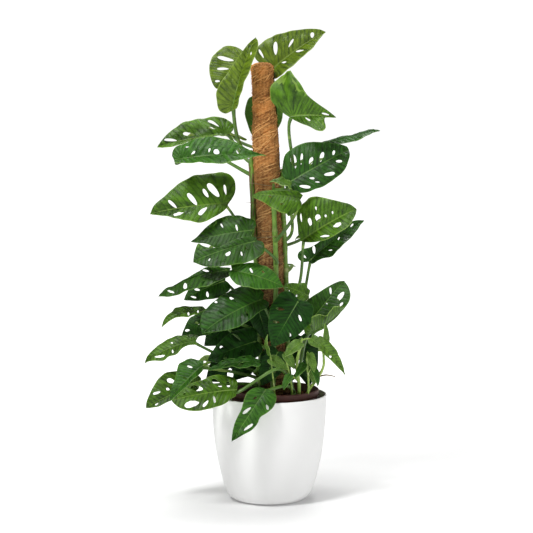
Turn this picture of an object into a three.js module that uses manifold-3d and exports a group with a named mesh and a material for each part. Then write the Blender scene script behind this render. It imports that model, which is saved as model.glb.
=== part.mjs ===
// A Swiss cheese vine (Monstera adansonii) climbing a coir pole, in its nursery pot inside a white planter.
// Millimetres, +Z up. The origin is the centre of the planter's underside, and the front faces -Y.

import * as THREE from "three";
import { mergeVertices } from "three/addons/utils/BufferGeometryUtils.js";
import Module from "manifold-3d";

const wasm = await Module();
wasm.setup();

// ---------- driving dimensions ----------

const GAP = 0.35; // clearance between pieces that touch
const SLIVER = 0.02; // thinnest facet that a cut may leave

const PLANTER_HEIGHT = 203;
const PLANTER_WALL = 3;
const PLANTER_FLOOR = 5;
const PLANTER_SIDES = 28;
const PLANTER_STEPS = 7; // of its curved outside
// outside of the planter from the edge of its flat foot to just below its rim: [radius, height]
const PLANTER_OUTLINE = [
  [58, 0], [70, 3], [79, 10.5], [84.5, 22], [94.5, 57], [101.5, 92], [106.5, 133], [110, 200],
];

const NURSERY_CENTRE_X = 10;
const NURSERY_FOOT_RADIUS = 50;
const NURSERY_RIM_RADIUS = 85;
const NURSERY_TOP = 213;
const NURSERY_WALL = 2;
const NURSERY_LIP_WIDTH = 3;
const NURSERY_LIP_DEPTH = 12;
const NURSERY_SIDES = 22; // also of the soil in it
const DRAIN_HOLES = 4;
const DRAIN_HOLE_RADIUS = 6;
const DRAIN_HOLE_REACH = 32;

const SOIL_TOP = 197;
const SOIL_MOUND = 5; // rise of the soil towards the pole
const SOIL_RELIEF = 1.6;

const POLE_FOOT_X = 14; // where the pole's axis meets the soil
const POLE_LEAN = 2.5; // degrees, its top to the left
const POLE_TOP = 833;
const CORE_RADIUS = 11;
const CORE_FOOT = 24;
const CORE_POINT = 14;
const COIR_RADIUS = 23.5;
const COIR_FOOT = 188;
const COIR_CAP = 17; // coir above the end of the core
const COIR_TOP_RADIUS = 20.8; // above its taper
const COIR_TAPER = [500, 545]; // heights above the soil between which it thins
const COIR_DOME = 9;
const COIR_SIDES = 16;
const COIR_RINGS = 14;
const COIR_RELIEF = 0.8;
const COIR_TURNS = 3; // turns that the bumps of its relief make from foot to top

const VINE_RADIUS = 4.4;
const VINE_SIDES = 6;
const VINE_STEPS = 12;
const VINE_FOOT = 172; // height at which a stem's buried end lies
const VINE_HUG = COIR_RADIUS + COIR_RELIEF + VINE_RADIUS + 0.6;
const VINE_SPREAD = 13; // how much further out the stems leave the soil
const VINE_SPREAD_HEIGHT = 70;

const PETIOLE_RADIUS = 2.5;
const PETIOLE_SIDES = 5;
const PETIOLE_STEPS = 5;
const SHOOT_RADIUS = 3.4;
const SHOOT_STEPS = 7;
const SHOOT_PETIOLE_RADIUS = 1.7;

const BLADE_THICKNESS = 0.8;
const MARGIN_POINTS = 8; // on each half of a blade
const MIDRIB_POINTS = 3;
const HOLE_POINTS = 5;
const VEIN_ANGLE = THREE.MathUtils.degToRad(60); // between the midrib and a lateral vein
const FULLNESS = 0.75; // the lower, the rounder the blade beyond its middle
const FULLNESS_WIDEST = 0.811; // the margin formula's largest value at that fullness
const LOBE = 0.24; // how far the blade's shoulders reach back past the petiole
const DRIP_TIP = 0.06; // share of the length that is drawn out to the point
const WAVES = 2.2; // along each margin

// Climbing stems. foot and head are where the stem lies round the pole, in degrees from +X towards +Y.
const VINES = {
  left: { foot: 205, head: 172, top: 668 },
  front: { foot: 262, head: 300, top: 606 },
  right: { foot: 330, head: 372, top: 626 },
  back: { foot: 110, head: 70, top: 752 },
};

// Leaves. base and tip are the ends of the blade's midrib, face the way its upper side looks, width its
// widest, fold the rise of each half in degrees, arch the midrib's rise over its length. holes are counted
// on the left and the right half, seen from above with the tip pointing away. skew widens the left half,
// and lobe says how far the shoulders reach back. left and right are a leaf's own margins instead, as points
// on the flat blade (along the midrib, out from it), and ovals its own holes (x, y, half length, half width
// and degrees to the midrib). vine and height say where the petiole grows, and via is
// a point that a long petiole bends through.
const LEAVES = [
  {
    name: "leaf_crown_right", vine: "back", height: 728, base: [5, 40, 819], tip: [106, 20, 891],
    face: [-0.31, -0.83, 0.46], width: 100, fold: 34, arch: 0.05, holes: [4, 2], skew: 1.1,
    left: [[-4, 10], [-9, 27], [-9, 44], [2, 52], [13, 56], [34, 57], [59, 44], [84, 32], [107, 18], [119, 9]],
    right: [[-3, 18], [1, 36], [18, 47], [38, 44], [62, 40], [86, 36], [106, 19]],
    ovals: [[5, 38.1, 9.7, 2.2, 79], [31.4, 28.9, 13.4, 4.1, 59], [60.6, 16.9, 8.9, 2.2, 24],
      [101.4, 6.8, 5.3, 3.4, 57], [67, -15.7, 11.6, 3, -50], [30.8, -14.6, 9.2, 2, -56]],
  },
  {
    name: "leaf_crown_round", vine: "back", height: 710, base: [-44, 46, 840], tip: [-101, 38, 784],
    face: [-0.1, -0.88, 0.4], width: 100, fold: 14, arch: 0.08, holes: [2, 2], skew: 0.88,
    left: [[-1, 10], [9, 19], [26, 22], [47, 22], [65, 15], [75, 8]],
    right: [[-6, 9], [-6, 20], [-2, 32], [6, 43], [18, 50], [35, 49], [52, 44], [65, 34], [74, 19], [79, 8]],
    ovals: [[27.9, -26.9, 16.2, 3.8, -59], [45, -15.8, 11.2, 2.5, -48], [68.3, -7, 4.7, 2, -51]],
  },
  {
    name: "leaf_crown_upright", vine: "left", height: 657, base: [-69, -30, 742], tip: [-26, -34, 878],
    face: [-0.55, -0.82, -0.12], width: 76, fold: 35, arch: 0.06, holes: [2, 2],
    left: [[-7, 11], [-5, 23], [4, 32], [17, 37], [34, 37], [52, 32], [76, 23], [103, 14], [128, 7]],
    right: [[8, 16], [28, 19], [49, 22], [67, 26], [82, 26], [98, 27], [117, 30], [131, 23]],
    ovals: [[111.8, -11.9, 6.1, 2.7, -139], [54.7, 12.1, 3, 1.2, 29]],
  },
  {
    name: "leaf_right_shield", vine: "right", height: 581, base: [38, -47, 730], tip: [124, -60, 730],
    face: [0, -0.93, 0.37], width: 142, fold: 28, arch: 0.1, holes: [1, 2], skew: 1.22, lobe: 0.34,
    left: [[-10, 10], [-21, 22], [-28, 38], [-27, 54], [-24, 69], [-12, 84], [8, 93], [14, 81], [24, 64],
      [35, 40], [51, 24], [69, 12]],
    right: [[6, 6], [25, 20], [41, 30], [52, 39], [62, 41], [68, 31], [66, 17], [64, 8]],
    ovals: [[36.2, -10.5, 7.1, 2.1, -47], [67.3, 3.8, 6.8, 1.7, 169]],
  },
  {
    name: "leaf_left_upper", vine: "left", height: 645, base: [-73, 22, 699], tip: [-213, 15, 674],
    face: [0, -0.7, 0.7], width: 80, fold: 30, arch: 0.03, holes: [2, 4], skew: 0.9,
    left: [[14, 10], [38, 5], [59, 4], [79, 11], [98, 18], [114, 21], [129, 16]],
    right: [[-5, 6], [-6, 19], [2, 29], [14, 36], [32, 40], [53, 43], [72, 40], [92, 34], [112, 24], [130, 11]],
    ovals: [[29.9, -24.8, 12.8, 2.9, -44], [33.9, -14, 7.6, 1.7, -23], [78.9, -10.1, 11, 3.5, -20],
      [114.5, -6, 12.2, 2.6, -18]],
  },
  {
    name: "leaf_left_lower", vine: "left", height: 621, base: [-177, -48, 650], tip: [-6, -72, 661],
    face: [0, -0.7, 0.72], width: 84, fold: 30, arch: 0.04, holes: [4, 2], skew: 1.1, via: [-120, 12, 662],
    left: [[-3, 9], [0, 21], [7, 28], [18, 32], [35, 37], [56, 40], [76, 40], [99, 34], [117, 25], [136, 12],
      [154, 4]],
    right: [[4, 14], [16, 22], [35, 25], [55, 32], [73, 41], [88, 46], [103, 38], [117, 29], [138, 21], [159, 8]],
    ovals: [[27.3, 22.3, 3.5, 1.6, 166], [36.4, 6.3, 7.3, 2, 46], [68.1, 10.6, 4.3, 1.9, 71],
      [81.7, 6.1, 5.8, 4.8, 146], [121.9, 6.3, 5.3, 3.5, 84]],
  },
  {
    name: "leaf_left_big", vine: "left", height: 505, base: [-77, -12, 567], tip: [-223, -40, 550],
    face: [0, -0.85, 0.5], width: 104, fold: 20, arch: 0.05, holes: [3, 5], skew: 0.8,
    left: [[6, 11], [22, 25], [40, 36], [54, 41], [68, 41], [84, 35], [101, 27], [118, 16], [136, 7]],
    right: [[-3, 7], [-10, 13], [-16, 26], [-18, 42], [-14, 55], [-4, 64], [10, 70], [36, 66], [65, 60],
      [89, 50], [116, 29], [140, 14]],
    ovals: [[25.9, -28.6, 16.7, 6.7, -59], [41.1, -23.6, 9.6, 3.6, -68], [3.6, -28.1, 10.5, 2.1, -88],
      [68, -14.1, 14.2, 4.6, -60], [105.8, -9.7, 10.7, 2.9, -53], [52.9, 15.5, 12.7, 4.5, 43],
      [98.4, 15.3, 9.6, 4.2, 3]],
  },
  {
    name: "leaf_mid_left", vine: "front", height: 456, base: [-23, -66, 501], tip: [-141, -80, 463],
    face: [0, -0.82, 0.57], width: 94, fold: 15, arch: 0.06, holes: [3, 4], skew: 0.9,
    left: [[-8, 5], [-8, 19], [-3, 31], [6, 38], [17, 42], [32, 42], [49, 41], [68, 40], [87, 33], [105, 22],
      [116, 11]],
    right: [[1, 8], [17, 13], [36, 13], [56, 10], [75, 8], [89, 13], [99, 23], [104, 31], [114, 20]],
    ovals: [[59.4, 14, 5.7, 4.1, 34], [24.5, 12.8, 5.4, 1.5, 83], [36.3, 21.4, 5.5, 1.5, 84],
      [95, 10.8, 3.5, 1.5, 51]],
  },
  {
    name: "leaf_mid_behind", vine: "left", height: 479, base: [-29, -36, 519], tip: [-148, -30, 497],
    face: [0, -0.9, 0.45], width: 62, fold: 10, arch: 0.05, holes: [1, 1],
    left: [[9, 16], [29, 23], [48, 28], [64, 30], [78, 23], [90, 14], [105, 8]],
    right: [[-6, 10], [-3, 20], [11, 26], [29, 35], [46, 38], [63, 32], [82, 24], [96, 14], [108, 5]],
    ovals: [[30.8, -8.1, 6, 1.7, -84], [57.4, -16.8, 4.9, 1.5, -71]],
  },
  {
    name: "leaf_mid_centre", vine: "front", height: 429, base: [-69, -92, 449], tip: [26, -98, 419],
    face: [0, -0.75, 0.65], width: 66, fold: 14, arch: 0.06, holes: [2, 2],
    left: [[-4, 9], [3, 18], [16, 17], [28, 24], [42, 27], [57, 27], [73, 20], [87, 11]],
    right: [[-2, 10], [5, 23], [16, 30], [30, 33], [46, 32], [64, 25], [82, 15]],
    ovals: [[34.9, 7.2, 5.9, 1.9, 131], [55.8, 12, 3.9, 1.4, 143]],
  },
  {
    name: "leaf_left_arch", vine: "left", height: 412, base: [-74, -40, 444], tip: [-208, -55, 397],
    face: [0, -0.65, 0.75], width: 62, fold: 20, arch: 0.1, holes: [3, 3],
    left: [[2, 15], [19, 29], [39, 35], [58, 34], [76, 35], [89, 35], [108, 28], [125, 20]],
    right: [[-3, 4], [13, 8], [30, 13], [43, 13], [58, 9], [75, 4], [91, 3], [109, 1], [123, 5], [134, 3]],
    ovals: [[117.9, 10.7, 10.6, 2.1, 122], [89, 17.9, 10.4, 3.6, 83], [55.8, 22.8, 6.2, 2.7, 45],
      [43.6, -6.6, 6.3, 2, -33]],
  },
  {
    name: "leaf_left_curl", vine: "left", height: 364, base: [-83, -34, 423], tip: [-161, -34, 387],
    face: [-0.1, -0.9, 0.35], width: 54, fold: 14, arch: 0.1, holes: [2, 2],
    ovals: [[54.1, -4.7, 5.3, 2.1, -37], [39.8, 13.7, 6, 2.2, 79], [66, 5.5, 6.1, 1.6, 136]],
  },
  {
    name: "leaf_centre_big", vine: "front", height: 325, base: [-12, -48, 390], tip: [-125, -92, 331],
    face: [-0.1, -0.78, 0.6], width: 94, fold: 12, arch: 0.08, holes: [4, 3],
    left: [[-4, 13], [6, 24], [20, 26], [35, 30], [52, 34], [67, 34], [80, 33], [97, 27], [116, 15]],
    right: [[-9, 11], [-6, 25], [5, 35], [22, 43], [43, 45], [68, 42], [88, 41], [107, 35], [123, 22]],
    ovals: [[79.9, -37.4, 3.3, 2.4, -75], [51.5, -22.9, 8.5, 2.5, -74], [83.3, -10.3, 5.9, 1.9, -72],
      [46.7, 18.9, 7.8, 1.9, 73]],
  },
  {
    name: "leaf_left_small", vine: "left", height: 325, base: [-121, -44, 372], tip: [-202, -56, 339],
    face: [0, -0.45, 0.9], width: 44, fold: 15, arch: 0.1, holes: [2, 2],
    left: [[6, 10], [21, 19], [36, 18], [54, 8], [66, 4], [77, 4]],
    right: [[2, 6], [17, 11], [38, 18], [53, 27], [64, 16], [77, 10]],
    ovals: [[33, 8.5, 7, 1.7, 82], [15.2, 9.2, 6, 1.4, 78]],
  },
  {
    name: "leaf_left_low", vine: "left", height: 244, base: [-138, -45, 310], tip: [-233, -60, 271],
    face: [0, -0.6, 0.8], width: 56, fold: 15, arch: 0.1, holes: [2, 2],
    left: [[2, 14], [15, 12], [28, 13], [45, 22], [57, 22], [69, 24], [87, 12]],
    right: [[-8, 10], [2, 18], [19, 18], [35, 21], [50, 22], [67, 18], [82, 13], [96, 8]],
    ovals: [[73.5, 10.4, 10.4, 3, 153], [43.1, -8.6, 2.5, 1.7, -60], [48.4, 11.6, 5.9, 1.5, 81]],
  },
  {
    name: "leaf_left_lattice", vine: "left", height: 287, base: [-105, -14, 350], tip: [-168, -12, 313],
    face: [-0.2, -0.8, 0.55], width: 54, fold: 10, arch: 0.05, holes: [2, 2],
    ovals: [[55.5, -4, 4.8, 2.3, -28], [32.3, -6.2, 5.1, 2.3, -66]],
  },
  {
    name: "leaf_low_left_a", vine: "left", height: 219, base: [-131, -40, 230], tip: [-232, -60, 186],
    face: [0, -0.85, 0.5], width: 88, fold: 20, arch: 0.05, holes: [2, 4], skew: 0.85,
    left: [[7, 11], [22, 15], [40, 14], [58, 13], [74, 12], [90, 12], [103, 6]],
    right: [[-5, 6], [0, 16], [13, 28], [29, 38], [47, 44], [62, 42], [79, 33], [95, 19], [106, 9]],
    ovals: [[48.6, -24.5, 7.9, 4.3, -47], [60.3, -12.5, 3.4, 2.3, -48], [81.8, -15.4, 7.2, 2.4, -12],
      [90.5, 5.7, 3.7, 1.9, 11]],
  },
  {
    name: "leaf_low_left_b", vine: "left", height: 233, base: [-124, -70, 267], tip: [-186, -84, 203],
    face: [-0.45, -0.75, 0.5], width: 62, fold: 25, arch: 0.06, holes: [1, 2],
    left: [[8, 15], [19, 17], [33, 12], [46, 14], [62, 13], [77, 8]],
    right: [[-6, 5], [0, 15], [8, 31], [21, 36], [36, 31], [50, 22], [67, 14], [80, 7]],
    ovals: [[18.9, -15.1, 5.8, 1.9, -69], [39.6, -5.5, 4.7, 1.5, -77]],
  },
  {
    name: "leaf_low_left_c", vine: "right", height: 225, base: [-60, -108, 228], tip: [-179, -134, 213],
    face: [0, -0.8, 0.6], width: 82, fold: 8, arch: 0.05, holes: [3, 3], via: [13, -96, 265],
    left: [[4, 12], [16, 19], [24, 25], [39, 30], [56, 33], [70, 35], [85, 33], [100, 27], [111, 20], [119, 9]],
    right: [[-4, 10], [-3, 22], [7, 30], [21, 33], [38, 34], [54, 31], [70, 27], [85, 23], [99, 13], [112, 6]],
    ovals: [[73.7, -12.6, 11.6, 5.7, -22], [35, -17.4, 11.7, 5.1, -51], [13.8, -13, 6.9, 4, -98],
      [89.1, 18.3, 13.4, 6.1, 0], [64.4, 22.8, 8.2, 2.8, 44], [46.5, 16.2, 7.5, 2.2, 86],
      [97.7, -5.7, 2.6, 1.6, -159]],
  },
  {
    name: "leaf_front_low", vine: "right", height: 210, base: [-6, -112, 230], tip: [-69, -150, 139],
    face: [0.2, -0.85, 0.45], width: 76, fold: 12, arch: 0.06, holes: [3, 3], via: [29, -82, 231],
    left: [[-2, 11], [2, 23], [10, 28], [23, 30], [38, 26], [52, 20], [64, 22], [79, 20], [94, 12], [106, 6]],
    right: [[6, 13], [18, 23], [30, 26], [43, 23], [59, 18], [76, 16], [93, 12], [107, 6]],
    ovals: [[54.9, -8, 9.8, 2.8, -19], [29, 20.6, 5.1, 2.3, 52], [78.8, 11.5, 10.2, 2.6, 158],
      [26.7, -8.1, 4.2, 1.5, -26]],
  },
  {
    name: "leaf_low_mid_a", vine: "front", height: 283, base: [-23, -42, 310], tip: [-117, -40, 272],
    face: [0, -0.84, 0.54], width: 68, fold: 12, arch: 0.06, holes: [2, 2],
  },
  {
    name: "leaf_low_centre", vine: "front", height: 252, base: [17, -46, 291], tip: [-14, -50, 226],
    face: [0.0, -0.88, 0.45], width: 52, fold: 12, arch: 0.06, holes: [1, 0],
  },
  {
    name: "leaf_low_mid_b", vine: "left", height: 240, base: [-21, -94, 276], tip: [-114, -92, 262],
    face: [0, -0.2, 0.97], width: 50, fold: 8, arch: 0.08, holes: [2, 3],
  },
  {
    name: "leaf_right_mid_big", vine: "front", height: 302, base: [55, -74, 391], tip: [5, -92, 306],
    face: [0.2, -0.8, 0.55], width: 80, fold: 12, arch: 0.05, holes: [4, 3],
    ovals: [[32.4, -22.2, 8.3, 2.6, -71], [57, -16.4, 6.8, 2.2, -71], [64.9, 18.8, 5.6, 1.9, 51],
      [28.6, 19.2, 6.5, 2.1, 50]],
  },
  {
    name: "leaf_right_up_low", vine: "right", height: 258, base: [77, -24, 342], tip: [141, -34, 423],
    face: [-0.2, -0.9, 0.3], width: 94, fold: 15, arch: 0.06, holes: [3, 3],
    left: [[1, 15], [12, 28], [28, 30], [41, 28], [55, 23], [72, 17], [86, 12], [98, 6]],
    right: [[5, 12], [19, 23], [34, 32], [49, 37], [65, 38], [80, 37], [92, 30], [100, 16]],
    ovals: [[73.3, 6.4, 6.4, 1.9, 46], [78.8, -16.4, 9.5, 4.8, -177], [66, -27.7, 6.7, 2.2, -11],
      [51, -3.2, 2.3, 1.4, -98]],
  },
  {
    name: "leaf_right_low_roll", vine: "right", height: 233, base: [76, -57, 327], tip: [142, -56, 376],
    face: [0.45, -0.6, -0.65], width: 40, fold: 10, arch: 0.05, holes: [1, 1],
    left: [[-7, 9], [0, 26], [17, 38], [38, 29], [60, 25], [75, 16]],
    right: [[3, 9], [16, 8], [32, 8], [50, 4], [67, 2]],
    ovals: [],
  },
  {
    name: "leaf_right_mid_upper", vine: "right", height: 383, base: [61, -26, 497], tip: [161, -70, 561],
    face: [-0.25, -0.88, 0.4], width: 106, fold: 18, arch: 0.05, holes: [4, 3], skew: 1.25,
    left: [[1, 14], [8, 29], [15, 46], [20, 59], [34, 64], [50, 65], [65, 61], [79, 51], [93, 38], [108, 24],
      [120, 13]],
    right: [[10, 9], [28, 20], [47, 28], [69, 32], [86, 32], [101, 29], [113, 21], [122, 10]],
    ovals: [[35.2, 21.8, 8.2, 4, 75], [54, 18.5, 7.8, 5.5, 88], [58.8, 37.6, 3.8, 1.8, 78],
      [69, 14.3, 3.7, 2, 85], [83.4, 14.5, 3.1, 1.6, 76], [22.5, 39.2, 8.8, 2, 72],
      [83.5, -14.4, 8.9, 4.8, -17], [53.1, -22.1, 10.5, 2, -28]],
  },
  {
    name: "leaf_right_mid_lower", vine: "right", height: 345, base: [75, 12, 455], tip: [180, 10, 535],
    face: [-0.1, -0.8, 0.6], width: 66, fold: 28, arch: 0.05, holes: [3, 2],
    left: [[-8, 6], [-10, 18], [-3, 26], [7, 27], [22, 19], [42, 15], [63, 12], [86, 12], [106, 11], [121, 7]],
    right: [[4, 11], [16, 16], [31, 25], [45, 33], [60, 32], [77, 30], [93, 22], [108, 15], [121, 7]],
    ovals: [[0.9, 14.4, 6.4, 1.9, 96], [23, 10.3, 7.8, 2.8, 58], [107.5, 3.6, 3.8, 1.5, 17],
      [73.4, -5.2, 4.2, 2.4, -126], [47.8, -18.8, 4.2, 1.7, -47]],
  },
  {
    name: "leaf_right_upper_dark", vine: "right", height: 498, base: [32, -35, 605], tip: [149, -30, 670],
    face: [-0.2, -0.96, 0.16], width: 88, fold: 12, arch: 0.05, holes: [4, 3], skew: 1.1,
    left: [[2, 17], [12, 36], [24, 49], [37, 53], [53, 54], [67, 53], [80, 46], [96, 36], [113, 24], [128, 13],
      [134, 6]],
    right: [[-5, 8], [-1, 17], [13, 28], [28, 35], [44, 38], [57, 41], [70, 40], [85, 38], [98, 36], [110, 31],
      [120, 22], [130, 11]],
    ovals: [[33.3, 29.7, 13.5, 5.2, 72], [48, 26.7, 10.7, 2.3, 57], [60.8, 13.5, 8.5, 3.4, 47],
      [82.1, 11.1, 9.4, 3.4, 44], [105.5, 7.4, 4.5, 2.4, 47], [28.2, -23.3, 10.7, 3, -38],
      [47, -16.2, 4.9, 2.1, -38], [79, -25.2, 10, 3.5, -22], [106.4, -12.1, 5.9, 2.8, -31],
      [52.4, -28.1, 4.1, 1.3, -32]],
  },
  {
    name: "leaf_right_edge_on", vine: "back", height: 615, base: [89, 16, 671], tip: [209, 0, 706],
    face: [-0.25, -0.38, 0.89], width: 74, fold: 8, arch: 0.03, holes: [3, 3],
    left: [[3, 13], [13, 16], [29, 13], [45, 8], [55, 11], [72, 4], [90, 6], [109, 6]],
    right: [[8, 17], [26, 29], [40, 28], [54, 23], [67, 25], [81, 28], [93, 28], [109, 11]],
    ovals: [],
  },
  {
    name: "leaf_pole_front", vine: "front", height: 498, base: [57, -68, 577], tip: [-32, -99, 587],
    face: [0.05, -0.78, 0.62], width: 66, fold: 8, arch: 0.1, holes: [2, 1],
    left: [[0, 14], [13, 31], [31, 42], [48, 39], [62, 28], [77, 18], [87, 9]],
    right: [[-8, 13], [0, 18], [21, 13], [44, 10], [65, 9], [82, 7]],
    ovals: [[42.3, 20.9, 5, 1.9, 42], [63.1, 6.3, 3.4, 1.7, 138]],
  },
  {
    name: "leaf_curl_small", vine: "front", height: 593, base: [39, -60, 601], tip: [1, -74, 611],
    face: [0, -0.5, 0.85], width: 30, fold: 25, arch: 0.1, holes: [0, 0],
  },
  {
    name: "leaf_fill_mid", vine: "left", height: 391, base: [-23, -28, 377], tip: [-2, -32, 305],
    face: [0, -0.985, 0.17], width: 42, fold: 8, arch: 0.04, holes: [0, 0],
  },
  {
    name: "leaf_fill_left", vine: "left", height: 383, base: [-39, 20, 359], tip: [-125, 14, 293],
    face: [-0.1, -0.94, 0.3], width: 80, fold: 8, arch: 0.06, holes: [0, 0],
  },
  {
    name: "leaf_fill_low", vine: "left", height: 283, base: [-39, 26, 277], tip: [-122, 18, 224],
    face: [-0.1, -0.86, 0.48], width: 80, fold: 8, arch: 0.06, holes: [1, 0],
  },
  {
    name: "leaf_fill_right", vine: "right", height: 287, base: [61, 14, 312], tip: [77, 10, 214],
    face: [0.1, -0.95, 0.2], width: 58, fold: 8, arch: 0.06, holes: [0, 1],
  },
  {
    name: "leaf_right_small", vine: "right", height: 371, base: [74, -34, 394], tip: [26, -42, 414],
    face: [0, -0.85, 0.5], width: 28, fold: 15, arch: 0.1, holes: [0, 0],
    left: [[9, 16], [20, 22], [36, 22], [46, 11]],
    right: [[1, 13], [11, 19], [22, 18], [37, 11], [47, 6]],
    ovals: [[41.7, 7.5, 3.1, 2.1, 21], [25.6, 9.9, 4.3, 2.8, 138]],
  },
  {
    name: "leaf_back_crown", vine: "back", height: 700, base: [-8, 74, 764], tip: [-14, 96, 668],
    face: [0, 0.9, 0.45], width: 76, fold: 12, arch: 0.08, holes: [0, 0],
  },
  {
    name: "leaf_back_left_top", vine: "back", height: 655, base: [-62, 62, 690], tip: [-165, 132, 684],
    face: [-0.1, 0.35, 0.93], width: 78, fold: 12, arch: 0.1, holes: [2, 1],
  },
  {
    name: "leaf_back_right_top", vine: "back", height: 570, base: [48, 56, 608], tip: [128, 128, 640],
    face: [0.1, 0.6, 0.8], width: 84, fold: 14, arch: 0.06, holes: [2, 2],
  },
  {
    name: "leaf_back_right_mid", vine: "back", height: 470, base: [66, 62, 502], tip: [146, 124, 528],
    face: [0.2, 0.6, 0.78], width: 80, fold: 14, arch: 0.06, holes: [2, 1],
  },
  {
    name: "leaf_back_left_mid", vine: "back", height: 440, base: [-44, 62, 478], tip: [-122, 136, 452],
    face: [-0.3, 0.6, 0.75], width: 84, fold: 12, arch: 0.08, holes: [2, 1],
  },
  {
    name: "leaf_back_centre", vine: "back", height: 400, base: [6, 72, 440], tip: [14, 178, 400],
    face: [0.05, 0.55, 0.83], width: 88, fold: 12, arch: 0.1, holes: [2, 2],
  },
  {
    name: "leaf_back_right_low", vine: "back", height: 345, base: [66, 60, 372], tip: [140, 138, 352],
    face: [0.3, 0.5, 0.8], width: 80, fold: 12, arch: 0.08, holes: [2, 1],
  },
  {
    name: "leaf_back_left_low", vine: "back", height: 330, base: [-58, 60, 352], tip: [-148, 126, 318],
    face: [-0.3, 0.5, 0.8], width: 84, fold: 12, arch: 0.08, holes: [2, 1],
  },
  {
    name: "leaf_back_low", vine: "back", height: 275, base: [0, 82, 316], tip: [-18, 186, 270],
    face: [-0.1, 0.6, 0.8], width: 84, fold: 12, arch: 0.08, holes: [2, 1],
  },
  {
    name: "leaf_back_side_right", vine: "back", height: 250, base: [62, 70, 286], tip: [138, 132, 248],
    face: [0.3, 0.55, 0.78], width: 72, fold: 14, arch: 0.1, holes: [2, 2],
  },
  {
    name: "leaf_back_side_left", vine: "back", height: 240, base: [-66, 70, 262], tip: [-150, 108, 222],
    face: [-0.25, 0.5, 0.82], width: 76, fold: 14, arch: 0.1, holes: [2, 2],
  },
];

// Young growth from the soil, each a stem with its small leaves. share is where on the stem a leaf grows.
const SHOOTS = [
  {
    name: "shoot_front",
    stem: [[56, -46, 183], [56, -60, 229], [52, -78, 272], [57, -93, 304], [61, -99, 323]],
    leaves: [
      {
        share: 0.86, base: [58, -106, 315], tip: [29, -116, 291],
        face: [-0.15, -0.72, 0.68], width: 27, holes: [0, 0],
      },
      {
        share: 0.97, base: [77, -106, 324], tip: [96, -110, 307],
        face: [-0.1, -0.9, 0.4], width: 22, holes: [0, 0],
      },
      {
        share: 0.36, base: [1, -74, 280], tip: [35, -82, 262],
        face: [0, -0.8, 0.6], width: 24, holes: [0, 0],
      },
    ],
  },
  {
    name: "shoot_right",
    stem: [[64, -28, 182], [69, -33, 200], [76, -38, 218], [91, -48, 240], [102, -58, 265], [101, -68, 293]],
    leaves: [
      {
        share: 0.95, base: [91, -84, 318], tip: [140, -92, 254],
        face: [0.35, -0.85, 0.4], width: 26, holes: [0, 1],
      },
      {
        share: 0.8, base: [104, -78, 305], tip: [105, -84, 349],
        face: [0.4, -0.85, 0.3], width: 15, holes: [0, 0],
      },
      {
        share: 0.5, base: [78, -62, 277], tip: [84, -66, 228],
        face: [0.2, -0.9, 0.4], width: 20, holes: [0, 0],
      },
    ],
  },
];

// ---------- small helpers ----------

const vector = (values) => new THREE.Vector3(...values);
const radians = THREE.MathUtils.degToRad;

function poleAxisX(z) {
  return POLE_FOOT_X - Math.tan(radians(POLE_LEAN)) * (z - SOIL_TOP);
}

function toSolid(geometry) {
  const bare = geometry.index ? geometry.toNonIndexed() : geometry;
  bare.deleteAttribute("normal");
  bare.deleteAttribute("uv");
  const merged = mergeVertices(bare, 1e-4);
  return new wasm.Manifold(new wasm.Mesh({
    numProp: 3,
    vertProperties: merged.attributes.position.array,
    triVerts: new Uint32Array(merged.index.array),
  }));
}

function toGeometry(solid) {
  const mesh = solid.getMesh();
  const geometry = new THREE.BufferGeometry();
  geometry.setAttribute("position", new THREE.BufferAttribute(mesh.vertProperties, 3));
  geometry.setIndex(new THREE.BufferAttribute(mesh.triVerts, 1));
  geometry.computeVertexNormals();
  return geometry;
}

// what is left of a solid once the scraps and slivers that a cut leaves behind are dropped
function largestPiece(solid) {
  return solid.decompose()
    .reduce((best, piece) => (piece.volume() > best.volume() ? piece : best))
    .asOriginal()
    .simplify(SLIVER);
}

function polygon(radius, sides) {
  const shape = new THREE.Shape();
  shape.moveTo(radius, 0);
  for (let i = 1; i < sides; i += 1) {
    const angle = (2 * Math.PI * i) / sides;
    shape.lineTo(radius * Math.cos(angle), radius * Math.sin(angle));
  }
  shape.closePath();
  return shape;
}

function tube(path, radius, sides, steps) {
  return new THREE.ExtrudeGeometry(polygon(radius, sides), { steps, bevelEnabled: false, extrudePath: path });
}

// a body of revolution whose profile, a list of [radius, height], starts and ends on the axis
function turned(profile, sides) {
  const geometry = new THREE.LatheGeometry(profile.map(([r, z]) => new THREE.Vector2(r, z)), sides);
  geometry.rotateX(Math.PI / 2);
  return geometry;
}

// ---------- planter and nursery pot ----------

function planter() {
  const outside = new THREE.SplineCurve(PLANTER_OUTLINE.map(([r, z]) => new THREE.Vector2(r, z)))
    .getPoints(PLANTER_STEPS)
    .map((point) => [point.x, point.y]);
  const rimRadius = outside[PLANTER_STEPS][0];
  const inside = outside
    .filter(([, z]) => z > PLANTER_FLOOR + PLANTER_WALL)
    .map(([r, z]) => [r - PLANTER_WALL, z + 1])
    .reverse();
  const rim = [[rimRadius - 0.8, PLANTER_HEIGHT], [rimRadius - PLANTER_WALL + 0.8, PLANTER_HEIGHT]];
  const floor = [[62, PLANTER_FLOOR], [0, PLANTER_FLOOR]];
  return turned([[0, 0], ...outside, ...rim, ...inside, ...floor], PLANTER_SIDES);
}

const NURSERY_FOOT = PLANTER_FLOOR + GAP;

function nurseryRadius(z) {
  const lipUnderside = NURSERY_TOP - NURSERY_LIP_DEPTH;
  const share = (z - NURSERY_FOOT) / (lipUnderside - NURSERY_FOOT);
  return THREE.MathUtils.lerp(NURSERY_FOOT_RADIUS, NURSERY_RIM_RADIUS - NURSERY_LIP_WIDTH, share);
}

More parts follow.
